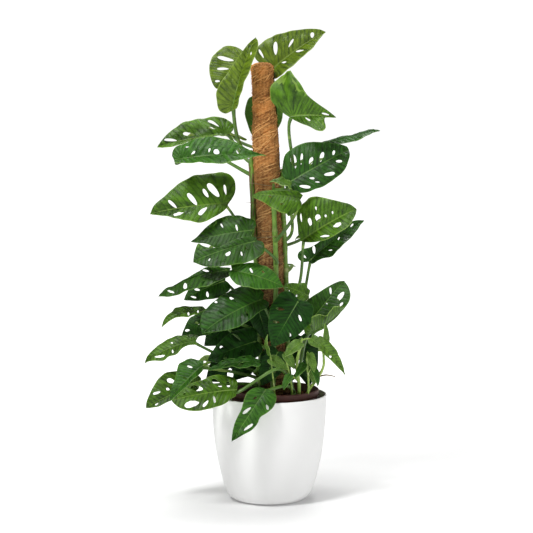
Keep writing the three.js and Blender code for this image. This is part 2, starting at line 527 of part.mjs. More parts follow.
function nurseryPot() {
  const lipUnderside = NURSERY_TOP - NURSERY_LIP_DEPTH;
  const floor = NURSERY_FOOT + NURSERY_WALL;
  let pot = toSolid(turned([
    [0, NURSERY_FOOT],
    [NURSERY_FOOT_RADIUS, NURSERY_FOOT],
    [nurseryRadius(lipUnderside), lipUnderside],
    [NURSERY_RIM_RADIUS, lipUnderside],
    [NURSERY_RIM_RADIUS, NURSERY_TOP],
    [nurseryRadius(NURSERY_TOP) - NURSERY_WALL, NURSERY_TOP],
    [nurseryRadius(floor) - NURSERY_WALL, floor],
    [0, floor],
  ], NURSERY_SIDES));
  for (let i = 0; i < DRAIN_HOLES; i += 1) {
    const angle = (2 * Math.PI * (i + 0.5)) / DRAIN_HOLES;
    const drill = new THREE.CylinderGeometry(DRAIN_HOLE_RADIUS, DRAIN_HOLE_RADIUS, 4 * NURSERY_WALL, 6);
    drill.rotateX(Math.PI / 2);
    drill.translate(DRAIN_HOLE_REACH * Math.cos(angle), DRAIN_HOLE_REACH * Math.sin(angle), NURSERY_FOOT);
    pot = pot.subtract(toSolid(drill));
  }
  return pot;
}

// ---------- soil ----------

// The soil fills the nursery pot, stands a little higher round the pole and has a crumbled top.
function soilBody() {
  const floor = NURSERY_FOOT + NURSERY_WALL + GAP;
  const wall = (z) => nurseryRadius(z) - NURSERY_WALL - GAP;
  const edge = wall(SOIL_TOP);
  const geometry = turned([
    [0, floor],
    [wall(floor), floor],
    [edge, SOIL_TOP],
    [0.78 * edge, SOIL_TOP + 0.3 * SOIL_MOUND],
    [0.5 * edge, SOIL_TOP + SOIL_MOUND],
    [0, SOIL_TOP + SOIL_MOUND],
  ], NURSERY_SIDES);
  const position = geometry.attributes.position;
  for (let i = 0; i < position.count; i += 1) {
    const x = position.getX(i);
    const y = position.getY(i);
    const z = position.getZ(i);
    if (z > SOIL_TOP + 0.1) position.setZ(i, z + SOIL_RELIEF * Math.sin(0.21 * x + 1) * Math.cos(0.17 * y));
  }
  geometry.translate(NURSERY_CENTRE_X, 0, 0);
  return toSolid(geometry);
}

// ---------- pole ----------

// The pole's pieces are made upright round their own axis, with height 0 where it meets the soil.
function poleCore(extra) {
  const top = POLE_TOP - SOIL_TOP - COIR_CAP;
  const foot = CORE_FOOT - SOIL_TOP - extra;
  const radius = CORE_RADIUS + extra;
  return turned([[0, foot], [3 + extra, foot], [radius, foot + CORE_POINT], [radius, top], [0, top]], 12);
}

function coirRadius(z) {
  const [low, high] = COIR_TAPER;
  const share = THREE.MathUtils.clamp((z - low) / (high - low), 0, 1);
  return THREE.MathUtils.lerp(COIR_RADIUS, COIR_TOP_RADIUS, share);
}

function poleCoir() {
  const top = POLE_TOP - SOIL_TOP;
  const foot = COIR_FOOT - SOIL_TOP;
  const bore = (CORE_RADIUS + GAP) / Math.cos(Math.PI / COIR_SIDES);
  const boreTop = top - COIR_CAP + GAP;
  const wall = Array.from({ length: COIR_RINGS + 1 }, (_, i) => {
    const z = THREE.MathUtils.lerp(foot, top - COIR_DOME, i / COIR_RINGS);
    return [coirRadius(z), z];
  });
  const dome = [[COIR_TOP_RADIUS - 2.5, top - 3.5], [COIR_TOP_RADIUS - 9, top - 0.8], [0, top]];
  const geometry = turned([[0, boreTop], [bore, boreTop], [bore, foot], ...wall, ...dome], COIR_SIDES);
  const position = geometry.attributes.position;
  for (let i = 0; i < position.count; i += 1) {
    const x = position.getX(i);
    const y = position.getY(i);
    const z = position.getZ(i);
    const r = Math.hypot(x, y);
    if (r > COIR_TOP_RADIUS - 1) {
      const turn = (2 * Math.PI * COIR_TURNS * (z - foot)) / (top - foot);
      const relief = 1 + (COIR_RELIEF * Math.sin(2 * Math.atan2(y, x) + turn)) / r;
      position.setXY(i, x * relief, y * relief);
    }
  }
  return geometry;
}

// an upright piece of the pole, leaned over and set on the soil
function leaned(geometry) {
  geometry.rotateY(-radians(POLE_LEAN));
  geometry.translate(POLE_FOOT_X, 0, SOIL_TOP);
  return geometry;
}

// the room that the coir takes up in the soil
function coirSocket() {
  const foot = COIR_FOOT - SOIL_TOP - GAP;
  const radius = COIR_RADIUS + COIR_RELIEF + GAP;
  return turned([[0, foot], [radius, foot], [radius, 40], [0, 40]], COIR_SIDES);
}

// ---------- climbing stems ----------

function vinePoint(vine, z) {
  const { foot, head, top } = VINES[vine];
  const share = THREE.MathUtils.clamp((z - SOIL_TOP) / (top - SOIL_TOP), 0, 1);
  const angle = radians(THREE.MathUtils.lerp(foot, head, share) + 5 * Math.sin(z / 55));
  const out = THREE.MathUtils.clamp(1 - (z - SOIL_TOP) / VINE_SPREAD_HEIGHT, 0, 1);
  const reach = VINE_HUG + VINE_SPREAD * out ** 2;
  return new THREE.Vector3(poleAxisX(z) + reach * Math.cos(angle), reach * Math.sin(angle), z);
}

function vineTube(vine, extra) {
  const points = [];
  for (let i = 0; i <= VINE_STEPS; i += 1) {
    const height = THREE.MathUtils.lerp(VINE_FOOT - extra, VINES[vine].top + extra, i / VINE_STEPS);
    points.push(vinePoint(vine, height));
  }
  return tube(new THREE.CatmullRomCurve3(points), VINE_RADIUS + extra, VINE_SIDES, VINE_STEPS);
}

// each stem with the clearance round it, for the cuts in what touches it
const vineCutters = Object.fromEntries(
  Object.keys(VINES).map((vine) => [vine, toSolid(vineTube(vine, GAP))]),
);

// ---------- leaves ----------

// The blade is drawn flat, its midrib along +X from 0 to its length, and then bent into place. angle runs
// along the margin from 0 at the petiole to pi at the tip, and side is 1 on the left half and -1 on the right.
function bladeMargin(leaf, side, angle) {
  const share = (1 - Math.cos(angle)) / 2;
  const back = leaf.lobe * Math.sin(angle) * Math.cos(angle / 2) ** 4;
  const half = (side > 0 ? leaf.skew : 2 - leaf.skew) * (leaf.width / 2);
  return new THREE.Vector2(
    leaf.length * ((1 - DRIP_TIP) * share + DRIP_TIP * share ** 8 - back),
    (side * half * Math.sin(angle) * Math.cos(angle / 2) ** FULLNESS) / FULLNESS_WIDEST,
  );
}

// where the lateral vein that leaves the midrib at start meets the margin, by halving the interval
function veinEnd(leaf, side, start) {
  let low = 0.6;
  let high = 3.1;
  for (let i = 0; i < 20; i += 1) {
    const middle = (low + high) / 2;
    const point = bladeMargin(leaf, side, middle);
    if (point.x - start < Math.abs(point.y) / Math.tan(VEIN_ANGLE)) low = middle;
    else high = middle;
  }
  return bladeMargin(leaf, side, low);
}

function ovalHole(middle, along, halfLength, halfWidth) {
  const across = new THREE.Vector2(-along.y, along.x);
  const points = [];
  for (let i = 0; i < HOLE_POINTS; i += 1) {
    const turn = (2 * Math.PI * i) / HOLE_POINTS;
    points.push(middle.clone()
      .addScaledVector(along, halfLength * Math.cos(turn))
      .addScaledVector(across, halfWidth * Math.sin(turn)));
  }
  return new THREE.Path(points);
}

// an oval hole that lies along a lateral vein, the nth of count on its half of the blade
function veinHole(leaf, side, n, count) {
  const spacing = (0.68 * leaf.length) / count;
  const start = 0.08 * leaf.length + spacing * (n + 0.5);
  const end = veinEnd(leaf, side, start);
  const vein = new THREE.Vector2(end.x - start, end.y);
  const vary = Math.sin(2.4 * n + leaf.phase + side);
  const middle = vein.clone().multiplyScalar(0.53 + 0.03 * vary).add(new THREE.Vector2(start, 0));
  const halfLength = vein.length() * (0.25 + 0.06 * vary);
  const halfWidth = Math.min(halfLength * 0.55, spacing * (0.25 + 0.04 * vary));
  return ovalHole(middle, vein.normalize(), halfLength, halfWidth);
}

// the holes of one half: its own ovals where the leaf has them, or its count of holes along the veins
function halfHoles(leaf, side) {
  if (leaf.ovals) {
    return leaf.ovals
      .filter(([, y]) => y * side > 0)
      .map(([x, y, halfLength, halfWidth, turn]) => ovalHole(
        new THREE.Vector2(x, y),
        new THREE.Vector2(Math.cos(radians(turn)), Math.sin(radians(turn))),
        halfLength,
        halfWidth,
      ));
  }
  const count = leaf.holes[side > 0 ? 0 : 1];
  return Array.from({ length: count }, (_, n) => veinHole(leaf, side, n, count));
}

function halfMargin(leaf, side) {
  const own = side > 0 ? leaf.left : leaf.right;
  if (own) return own.map(([x, reach]) => new THREE.Vector2(x, side * reach));
  return Array.from({ length: leaf.marginPoints }, (_, i) => (
    bladeMargin(leaf, side, (Math.PI * (i + 1)) / (leaf.marginPoints + 1))
  ));
}

function halfBladeShape(leaf, side) {
  const outline = [new THREE.Vector2(0, 0), ...halfMargin(leaf, side)];
  for (let i = MIDRIB_POINTS + 1; i > 0; i -= 1) {
    outline.push(new THREE.Vector2((leaf.length * i) / (MIDRIB_POINTS + 1), 0));
  }
  const shape = new THREE.Shape(outline);
  shape.holes.push(...halfHoles(leaf, side));
  return shape;
}

// The frame of a leaf: along its midrib, up from its face, and across to its left.
function leafFrame(leaf) {
  const along = vector(leaf.tip).sub(vector(leaf.base)).normalize();
  const up = vector(leaf.face).projectOnPlane(along).normalize();
  const left = up.clone().cross(along);
  return { along, up, left };
}

// the place on the bent blade of a point x, y of the flat one, at a height above the blade's middle surface
function bendPoint(leaf, x, y, height) {
  const { along, up, left } = leaf.frame;
  const u = x / leaf.length;
  const side = Math.sign(y);
  const reach = Math.abs(y);
  const half = leaf.width / 2;
  const fold = radians(leaf.fold);
  const slope = 4 * leaf.arch * (1 - 2 * u);
  const tangent = along.clone().addScaledVector(up, slope).normalize();
  const lift = up.clone().addScaledVector(along, -slope).normalize();
  const wave = leaf.wave * Math.sin(2 * Math.PI * WAVES * u + leaf.phase + side) * (reach / half) ** 2;
  const rise = Math.sin(fold) * reach - (leaf.droop * reach * reach) / half + wave;
  const point = vector(leaf.base)
    .addScaledVector(along, x)
    .addScaledVector(up, 4 * leaf.arch * leaf.length * u * (1 - u))
    .addScaledVector(left, side * Math.cos(fold) * reach)
    .addScaledVector(lift, rise);
  const outward = left.clone().multiplyScalar(Math.cos(fold))
    .addScaledVector(lift, side * (Math.sin(fold) - (2 * leaf.droop * reach) / half));
  const normal = side === 0 ? lift : tangent.cross(outward).normalize();
  return point.addScaledVector(normal, height);
}

function halfBlade(leaf, side) {
  const geometry = new THREE.ExtrudeGeometry(halfBladeShape(leaf, side), {
    depth: BLADE_THICKNESS,
    steps: 1,
    bevelEnabled: false,
  });
  const position = geometry.attributes.position;
  for (let i = 0; i < position.count; i += 1) {
    const y = Math.abs(position.getY(i)) < 1e-6 ? 0 : position.getY(i);
    const bent = bendPoint(leaf, position.getX(i), y, position.getZ(i) - BLADE_THICKNESS / 2);
    position.setXYZ(i, bent.x, bent.y, bent.z);
  }
  return toSolid(geometry);
}

// The petiole leaves its stem sideways, climbs, and comes up to the blade from beneath its base.
function petiole(leaf, start, outward, radius) {
  const sunk = bendPoint(leaf, 0.05 * leaf.length, 0, -0.6);
  const reach = start.distanceTo(sunk);
  const leave = start.clone()
    .addScaledVector(outward, 0.28 * reach)
    .add(new THREE.Vector3(0, 0, 0.12 * reach));
  const arrive = sunk.clone()
    .addScaledVector(leaf.frame.along, -0.16 * reach)
    .addScaledVector(leaf.frame.up, -0.14 * reach)
    .add(new THREE.Vector3(0, 0, -0.08 * reach));
  if (leaf.via) arrive.lerp(sunk, 0.75); // a long petiole comes up close behind the blade
  const path = leaf.via
    ? new THREE.CatmullRomCurve3([start, vector(leaf.via), arrive, sunk])
    : new THREE.CubicBezierCurve3(start, leave, arrive, sunk);
  return toSolid(tube(path, radius, PETIOLE_SIDES, PETIOLE_STEPS));
}

function completeLeaf(entry, index) {
  const leaf = {
    skew: 1,
    lobe: LOBE,
    wave: 1.5,
    droop: 0.16,
    phase: 1.7 * index,
    marginPoints: MARGIN_POINTS,
    ...entry,
  };
  leaf.length = vector(leaf.base).distanceTo(vector(leaf.tip));
  leaf.frame = leafFrame(leaf);
  return leaf;
}

function blade(leaf) {
  return halfBlade(leaf, 1).add(halfBlade(leaf, -1));
}

function vineLeaf(leaf) {
  const start = vinePoint(leaf.vine, leaf.height);
  const outward = new THREE.Vector3(start.x - poleAxisX(start.z), start.y, 0).normalize();
  const solid = blade(leaf).add(petiole(leaf, start, outward, PETIOLE_RADIUS));
  return largestPiece(solid.subtract(vineCutters[leaf.vine]));
}

// ---------- young shoots ----------

function shootStem(shoot, extra) {
  const points = shoot.stem.map(vector);
  points[0].z -= extra;
  return toSolid(tube(new THREE.CatmullRomCurve3(points), SHOOT_RADIUS + extra, VINE_SIDES, SHOOT_STEPS));
}

function shootSolid(shoot, index) {
  const path = new THREE.CatmullRomCurve3(shoot.stem.map(vector));
  let solid = shootStem(shoot, 0);
  shoot.leaves.forEach((entry, n) => {
    const leaf = completeLeaf({ fold: 22, arch: 0.08, wave: 0.8, marginPoints: 5, ...entry }, index + n);
    const start = path.getPointAt(leaf.share);
    const outward = vector(leaf.base).sub(start).normalize();
    solid = solid.add(blade(leaf)).add(petiole(leaf, start, outward, SHOOT_PETIOLE_RADIUS));
  });
  return largestPiece(solid);
}

// ---------- materials ----------

const surface = (color, roughness) => new THREE.MeshStandardMaterial({ color, roughness, metalness: 0 });

const MATERIALS = {
  planter: surface("#f0efec", 0.4),
  nursery: surface("#3a211b", 0.55),
  soil: surface("#2c1a12", 0.95),
  core: surface("#8a6a45", 0.8),
  coir: surface("#a5673a", 0.95),
  stem: surface("#5a7d2c", 0.5),
  leaf: surface("#2f6a28", 0.4),
  shoot: surface("#7ea545", 0.45),
};

// ---------- assembly ----------

const plant = new THREE.Group();

function addMesh(name, geometry, material, x = 0) {
  const mesh = new THREE.Mesh(geometry, material);
  mesh.name = name;
  mesh.position.x = x;
  plant.add(mesh);
}

let soil = soilBody()
  .subtract(toSolid(leaned(poleCore(GAP))))
  .subtract(toSolid(leaned(coirSocket())));
Object.values(vineCutters).forEach((cutter) => {
  soil = soil.subtract(cutter);
});
SHOOTS.forEach((shoot) => {
  soil = soil.subtract(shootStem(shoot, GAP));
});

addMesh("planter", planter(), MATERIALS.planter);
addMesh("nursery_pot", toGeometry(nurseryPot()), MATERIALS.nursery, NURSERY_CENTRE_X);
addMesh("soil", toGeometry(soil), MATERIALS.soil);
addMesh("pole_core", leaned(poleCore(0)), MATERIALS.core);
addMesh("pole_coir", leaned(poleCoir()), MATERIALS.coir);
Object.keys(VINES).forEach((vine) => {
  addMesh(`stem_${vine}`, vineTube(vine, 0), MATERIALS.stem);
});
LEAVES.map(completeLeaf).forEach((leaf) => {
  addMesh(leaf.name, toGeometry(vineLeaf(leaf)), MATERIALS.leaf);
});
SHOOTS.forEach((shoot, index) => {
  addMesh(shoot.name, toGeometry(shootSolid(shoot, index)), MATERIALS.shoot);
});

export default plant;
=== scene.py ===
"""Looks of a Swiss cheese vine (Monstera adansonii) on a coir pole, in its nursery pot and white planter.

Metres, +Z up, front towards -Y; the tables of leaves and shoots are in millimetres. Every piece is built
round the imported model, which stays as it is.
"""

import logging
import math
from dataclasses import dataclass
from enum import Enum
from typing import Callable, ClassVar, Iterable, Sequence

import bpy
import numpy as np
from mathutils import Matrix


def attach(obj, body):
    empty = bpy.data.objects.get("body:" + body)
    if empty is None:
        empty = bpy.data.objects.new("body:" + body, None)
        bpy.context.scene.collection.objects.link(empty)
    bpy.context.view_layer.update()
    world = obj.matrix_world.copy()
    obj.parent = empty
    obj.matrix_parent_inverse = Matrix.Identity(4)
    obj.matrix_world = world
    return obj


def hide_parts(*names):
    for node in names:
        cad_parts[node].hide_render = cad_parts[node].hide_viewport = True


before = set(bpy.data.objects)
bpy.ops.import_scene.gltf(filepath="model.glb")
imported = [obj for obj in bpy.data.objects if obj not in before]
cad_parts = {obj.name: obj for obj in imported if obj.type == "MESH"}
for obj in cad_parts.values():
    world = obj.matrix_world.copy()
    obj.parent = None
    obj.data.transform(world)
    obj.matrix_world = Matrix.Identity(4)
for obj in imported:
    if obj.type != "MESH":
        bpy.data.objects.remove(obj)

LOG = logging.getLogger("vine")

Point = tuple[float, float, float]
Colour = tuple[float, float, float, float]
Cloud = np.ndarray  # rows of x, y, z
Piece = bpy.types.Object
Socket = bpy.types.NodeSocket

BODY = "root"
UP = np.array([0.0, 0.0, 1.0])
GOLDEN_TURN = 2.399963


def srgb(code: str) -> Colour:
    """Turns a six-digit colour code into linear light.

    Args:
        code: Red, green and blue in hexadecimal, without a leading sign.

    Returns:
        The colour with full opacity.
    """
    parts = [int(code[i : i + 2], 16) / 255 for i in (0, 2, 4)]
    linear = [part / 12.92 if part <= 0.04045 else ((part + 0.055) / 1.055) ** 2.4 for part in parts]
    return (linear[0], linear[1], linear[2], 1.0)


def metres(value: object) -> np.ndarray:
    """Returns millimetres as metres."""
    return np.array(value, dtype=float) / 1000


def unit(vector: Cloud) -> Cloud:
    """Returns the vectors scaled to length one, row by row."""
    return vector / np.maximum(np.linalg.norm(vector, axis=-1, keepdims=True), 1e-12)


def around(angle: np.ndarray, radius: float | np.ndarray, z: float | np.ndarray) -> Cloud:
    """Returns points at a radius round the Z axis and at a height."""
    return np.c_[radius * np.cos(angle), radius * np.sin(angle), np.broadcast_to(z, np.shape(angle))]


# ---------------------------------------------------------------- modelling bench


class Bench:
    """Tools shared by all pieces: select, read and set points, apply modifiers, copy shapes."""

    @staticmethod
    def clear() -> None:
        """Leaves edit mode and deselects everything."""
        if bpy.context.object is not None and bpy.context.object.mode != "OBJECT":
            bpy.ops.object.mode_set(mode="OBJECT")
        bpy.ops.object.select_all(action="DESELECT")

    @staticmethod
    def take(piece: Piece) -> None:
        """Makes one object the only selected and active one."""
        Bench.clear()
        piece.select_set(True)
        bpy.context.view_layer.objects.active = piece

    @staticmethod
    def named(name: str) -> Piece:
        """Names the active object and its data, and returns it."""
        piece = bpy.context.object
        piece.name = name
        piece.data.name = name
        return piece

    @staticmethod
    def add(name: str, operator: Callable[..., object], **settings: object) -> Piece:
        """Adds an object.

        Args:
            name: The piece's name.
            operator: The operator that adds it.
            **settings: The operator's options.

        Returns:
            The piece.
        """
        Bench.clear()
        operator(**settings)
        return Bench.named(name)

    @staticmethod
    def values(items: bpy.types.bpy_prop_collection, key: str, width: int = 1) -> np.ndarray:
        """Reads a property of all items: rows of decimals, or whole numbers if it is one wide."""
        flat = np.empty(len(items) * width, dtype=float if width > 1 else np.int32)
        items.foreach_get(key, flat)
        return flat.reshape(-1, width) if width > 1 else flat

    @staticmethod
    def points(piece: Piece) -> Cloud:
        """Returns the vertices of a piece as rows of x, y, z."""
        return Bench.values(piece.data.vertices, "co", 3)

    @staticmethod
    def set_points(piece: Piece, points: Cloud) -> None:
        """Moves the vertices of a piece to the rows given."""
        piece.data.vertices.foreach_set("co", np.ascontiguousarray(points, dtype=float).ravel())
        piece.data.update()

    @staticmethod
    def modify(piece: Piece, kind: str, **settings: object) -> None:
        """Adds a modifier and applies it.

        Args:
            piece: The object to change.
            kind: The modifier's type.
            **settings: Its properties.
        """
        Bench.take(piece)
        modifier = piece.modifiers.new(kind.title(), kind)
        for key, value in settings.items():
            setattr(modifier, key, value)
        bpy.ops.object.modifier_apply(modifier=modifier.name)

    @staticmethod
    def cut(piece: Piece, punch: Piece) -> None:
        """Takes the shape of a punch out of a piece and removes the punch."""
        Bench.close_up(punch)
        Bench.modify(piece, "BOOLEAN", operation="DIFFERENCE", solver="EXACT", object=punch)
        bpy.data.objects.remove(punch, do_unlink=True)

    @staticmethod
    def edit(piece: Piece, *steps: Callable[[], object]) -> None:
        """Runs edit-mode steps on a whole piece.

        Args:
            piece: The mesh to edit, selected all over.
            *steps: Calls made one after the other.
        """
        Bench.take(piece)
        bpy.ops.object.mode_set(mode="EDIT")
        bpy.ops.mesh.select_all(action="SELECT")
        for step in steps:
            step()
        bpy.ops.object.mode_set(mode="OBJECT")

    @staticmethod
    def close_up(piece: Piece, gap: float = 1e-6, caps: bool = False) -> None:
        """Merges doubled vertices, closes open ends if asked and turns the faces outwards."""
        Bench.edit(
            piece,
            lambda: bpy.ops.mesh.remove_doubles(threshold=gap),
            lambda: bpy.ops.mesh.fill_holes(sides=0) if caps else None,
            lambda: bpy.ops.mesh.dissolve_degenerate(threshold=gap / 2),
            lambda: bpy.ops.mesh.normals_make_consistent(inside=False),
        )

    @staticmethod
    def smooth(piece: Piece, degrees: float) -> None:
        """Shades a piece smooth and keeps its edges sharper than an angle."""
        Bench.take(piece)
        bpy.ops.object.shade_smooth_by_angle(angle=math.radians(degrees))

    @staticmethod
    def coat(piece: Piece, finish: "Finish", degrees: float = 60.0) -> Piece:
        """Gives a piece its one material and shades it smooth, unless the angle is nought."""
        piece.data.materials.clear()
        piece.data.materials.append(finish.material())
        if degrees:
            Bench.smooth(piece, degrees)
        return piece

    @staticmethod
    def tint(piece: Piece, shades: np.ndarray) -> None:
        """Stores a shade for each vertex, which the coir's finish reads."""
        piece.data.attributes.new("tint", "FLOAT", "POINT").data.foreach_set("value", shades)

    @staticmethod
    def join(name: str, pieces: Sequence[Piece]) -> Piece:
        """Joins meshes into the first of them.

        Args:
            name: The name of the result.
            pieces: The meshes, of which the first one stays.

        Returns:
            The joined piece.
        """
        Bench.take(pieces[0])
        for piece in pieces:
            piece.select_set(True)
        bpy.ops.object.join()
        return Bench.named(name)

    @staticmethod
    def lathe(name: str, profile: Sequence[tuple[float, float]], steps: int) -> Piece:
        """Spins a profile round the Z axis.

        Args:
            name: The piece's name.
            profile: Radius and height of each point, from axis to axis.
            steps: Facets round the axis.

        Returns:
            The closed shell.
        """
        circle = bpy.ops.mesh.primitive_circle_add
        piece = Bench.add(name, circle, vertices=len(profile), radius=1.0, fill_type="NOTHING")
        Bench.set_points(piece, np.array([(radius, 0.0, z) for radius, z in profile]))
        ends = {0, len(profile) - 1}
        for vertex in piece.data.vertices:
            vertex.select = vertex.index in ends
        for edge in piece.data.edges:
            edge.select = set(edge.vertices) == ends
        bpy.ops.object.mode_set(mode="EDIT")
        bpy.context.tool_settings.mesh_select_mode = (False, True, False)
        bpy.ops.mesh.delete(type="EDGE")
        bpy.context.tool_settings.mesh_select_mode = (True, False, False)
        bpy.ops.mesh.select_all(action="SELECT")
        bpy.ops.mesh.spin(steps=steps, angle=2 * math.pi, center=(0, 0, 0), axis=(0, 0, 1))
        bpy.ops.object.mode_set(mode="OBJECT")
        Bench.close_up(piece, 2e-6)
        return piece

    @staticmethod
    def sweep(name: str, path: Cloud, radii: Sequence[float], resolution: int = 0) -> Piece:
        """Draws a round, tapered rod along a path.

        Args:
            name: The piece's name.
            path: The points of its centre line.
            radii: The rod's radius at each point.
            resolution: Roundness of its section.

        Returns:
            The rod as a closed mesh.
        """
        rod = Bench.add(name, bpy.ops.curve.primitive_nurbs_path_add)
        curve = rod.data
        curve.splines.clear()
        spline = curve.splines.new("POLY")
        spline.points.add(len(path) - 1)
        spline.points.foreach_set("co", np.c_[path, np.ones(len(path))].ravel())
        spline.points.foreach_set("radius", np.asarray(radii, dtype=float) * 1000.0)
        curve.bevel_depth = 0.001
        curve.bevel_resolution = resolution
        curve.use_fill_caps = True
        Bench.take(rod)
        bpy.ops.object.convert(target="MESH")
        piece = Bench.named(name)
        Bench.close_up(piece)
        return piece

    @staticmethod
    def copies(name: str, model: Piece, clouds: Sequence[Cloud]) -> Piece:
        """Repeats a small model with the points of each copy placed one by one.

        Args:
            name: The name of the result.
            model: The shape to repeat, removed afterwards.
            clouds: For each copy the places of the model's vertices, in their order.

        Returns:
            One mesh with all the copies.
        """
        faces = [tuple(face.vertices) for face in model.data.polygons]
        count = len(model.data.vertices)
        shifted = [tuple(i + n * count for i in face) for n in range(len(clouds)) for face in faces]
        mesh = bpy.data.meshes.new(name)
        mesh.from_pydata(np.concatenate(clouds).tolist(), [], shifted)
        piece = bpy.data.objects.new(name, mesh)
        bpy.context.collection.objects.link(piece)
        bpy.data.objects.remove(model, do_unlink=True)
        return piece

    @staticmethod
    def strand(sides: int, segments: int) -> Piece:
        """Makes the model of a thread: a thin prism along Z from 0 to 1 in even segments.

        Args:
            sides: Sides of its section.
            segments: Parts of its length.

        Returns:
            The thread, closed at both ends.
        """
        cylinder = bpy.ops.mesh.primitive_cylinder_add
        piece = Bench.add("strand", cylinder, vertices=sides, radius=1.0, depth=1.0, location=(0, 0, 0.5))
        Bench.take(piece)
        bpy.ops.object.transform_apply(location=True, rotation=True, scale=True)
        for k in range(1, segments):
            place = (0, 0, k / segments)
            Bench.edit(piece, lambda place=place: bpy.ops.mesh.bisect(plane_co=place, plane_no=(0, 0, 1)))
        return piece

    @staticmethod
    def carry(piece: Piece, slot: str, *nodes: str) -> Piece:
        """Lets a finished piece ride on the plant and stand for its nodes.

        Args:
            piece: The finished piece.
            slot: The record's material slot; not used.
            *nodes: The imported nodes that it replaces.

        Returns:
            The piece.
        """
        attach(piece, BODY)
        if nodes:
            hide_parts(*nodes)
        return piece


def noise(points: Cloud, seed: float) -> np.ndarray:
    """Smooth, repeatable unevenness between about -1 and 1, from turned waves.

    Args:
        points: Rows of coordinates, scaled so that one unit is one bump.
        seed: Shifts the pattern.

    Returns:
        One value a row.
    """
    total = np.zeros(len(points))
    weight = 0.0
    for k in range(7):
        angle = GOLDEN_TURN * (k + 1) + seed
        tilt = 0.9 * math.sin(1.7 * k + 2.3 * seed)
        way = np.array([math.cos(angle) * math.cos(tilt), math.sin(angle) * math.cos(tilt), math.sin(tilt)])
        size = 1.0 + 0.37 * k
        bend = 0.8 * np.sin(points @ np.roll(way, 1) * 1.3 * size + seed * k)
        total += np.sin(points @ way * 3.1 * size + 1.9 * k * seed + bend) / size
        weight += 0.6 / size
    return total / weight


def through(points: Sequence[Point] | Cloud, steps: int) -> Cloud:
    """Runs a smooth centripetal curve through points.

    Args:
        points: The points to pass.
        steps: Samples along the curve.

    Returns:
        steps + 1 points, evenly spaced by parameter.
    """
    nodes = np.array(points, dtype=float)
    ends = np.vstack([2 * nodes[0] - nodes[1], nodes, 2 * nodes[-1] - nodes[-2]])
    knots = np.maximum(np.linalg.norm(np.diff(ends, axis=0), axis=1), 1e-9) ** 0.5
    spans = len(nodes) - 1
    curve = []
    for step in range(steps + 1):
        place = spans * step / steps
        k = min(int(place), spans - 1)
        p, t = ends[k : k + 4], np.r_[0.0, np.cumsum(knots[k : k + 3])]
        now = t[1] + (place - k) * (t[2] - t[1])
        a = [p[i] + (p[i + 1] - p[i]) * (now - t[i]) / (t[i + 1] - t[i]) for i in range(3)]
        b = [a[i] + (a[i + 1] - a[i]) * (now - t[i]) / (t[i + 2] - t[i]) for i in range(2)]
        curve.append(b[0] + (b[1] - b[0]) * (now - t[1]) / (t[2] - t[1]))
    return np.array(curve)


def hook(points: Sequence[Cloud], steps: int) -> Cloud:
    """Samples a cubic Bezier curve.

    Args:
        points: Its four control points.
        steps: Samples along the curve.

    Returns:
        steps + 1 points.
    """
    t = np.linspace(0, 1, steps + 1)[:, None]
    a, b, c, d = (np.asarray(point, dtype=float) for point in points)
    return (1 - t) ** 3 * a + 3 * (1 - t) ** 2 * t * b + 3 * (1 - t) * t**2 * c + t**3 * d


# ---------------------------------------------------------------- finishes


@dataclass
class Wiring:
    """Adds and joins the nodes of one shader tree."""

    tree: bpy.types.NodeTree

    def fill(self, node: bpy.types.Node, inputs: dict) -> bpy.types.Node:
        """Gives each input named or numbered its value or its link, and returns the node."""
        for key, value in inputs.items():
            if isinstance(value, Socket):
                self.tree.links.new(value, node.inputs[key])
            else:
                node.inputs[key].default_value = value
        return node

    def add(self, kind: str, inputs: dict | None = None, **settings: object) -> bpy.types.Node:
        """Adds a node.

        Args:
            kind: The node's type, without its first word Shader.
            inputs: A value or an output socket for each input, by name or number.
            **settings: The node's properties.

        Returns:
            The node.
        """
        node = self.tree.nodes.new(f"ShaderNode{kind}")
        for key, value in settings.items():
            setattr(node, key, value)
        return self.fill(node, inputs or {})

    def maths(self, operation: str, *values: object) -> Socket:
        """Returns the result of one Math node on the values or sockets given."""
        return self.add("Math", dict(enumerate(values)), operation=operation).outputs[0]

    def weigh(self, *terms: tuple[Socket, float], start: float = 0.0) -> Socket:
        """Adds up sockets.

        Args:
            *terms: Each socket and its weight.
            start: What the sum begins with.

        Returns:
            The sum.
        """
        total = start
        for value, weight in terms:
            total = self.maths("MULTIPLY_ADD", value, weight, total)
        return total

    def remap(self, value: object, low: float, high: float, first: float = 0.0, last: float = 1.0) -> Socket:
        """Returns a value moved smoothly from one range to another."""
        inputs = {0: value, 1: low, 2: high, 3: first, 4: last}
        return self.add("MapRange", inputs, interpolation_type="SMOOTHSTEP").outputs[0]

    def mix(self, factor: object, first: object, second: object) -> Socket:
        """Returns a colour between two others."""
        return self.add("Mix", {0: factor, 6: first, 7: second}, data_type="RGBA").outputs[2]

    def speckle(self, vector: object, scale: object = 1.0, detail: float = 3.0, rough: float = 0.55) -> Socket:
        """Returns the value of a Noise texture."""
        inputs = {"Vector": vector, "Scale": scale, "Detail": detail, "Roughness": rough}
        return self.add("TexNoise", inputs).outputs[0]

    def place(self) -> Socket:
        """Returns the Object coordinates."""
        return self.add("TexCoord").outputs["Object"]

    def stretch(self, place: Socket, scale: Point, turn: float = 0.0) -> Socket:
        """Returns coordinates turned round Y and scaled along each axis."""
        inputs = {"Vector": place, "Rotation": (0.0, math.radians(turn), 0.0), "Scale": scale}
        return self.add("Mapping", inputs).outputs[0]


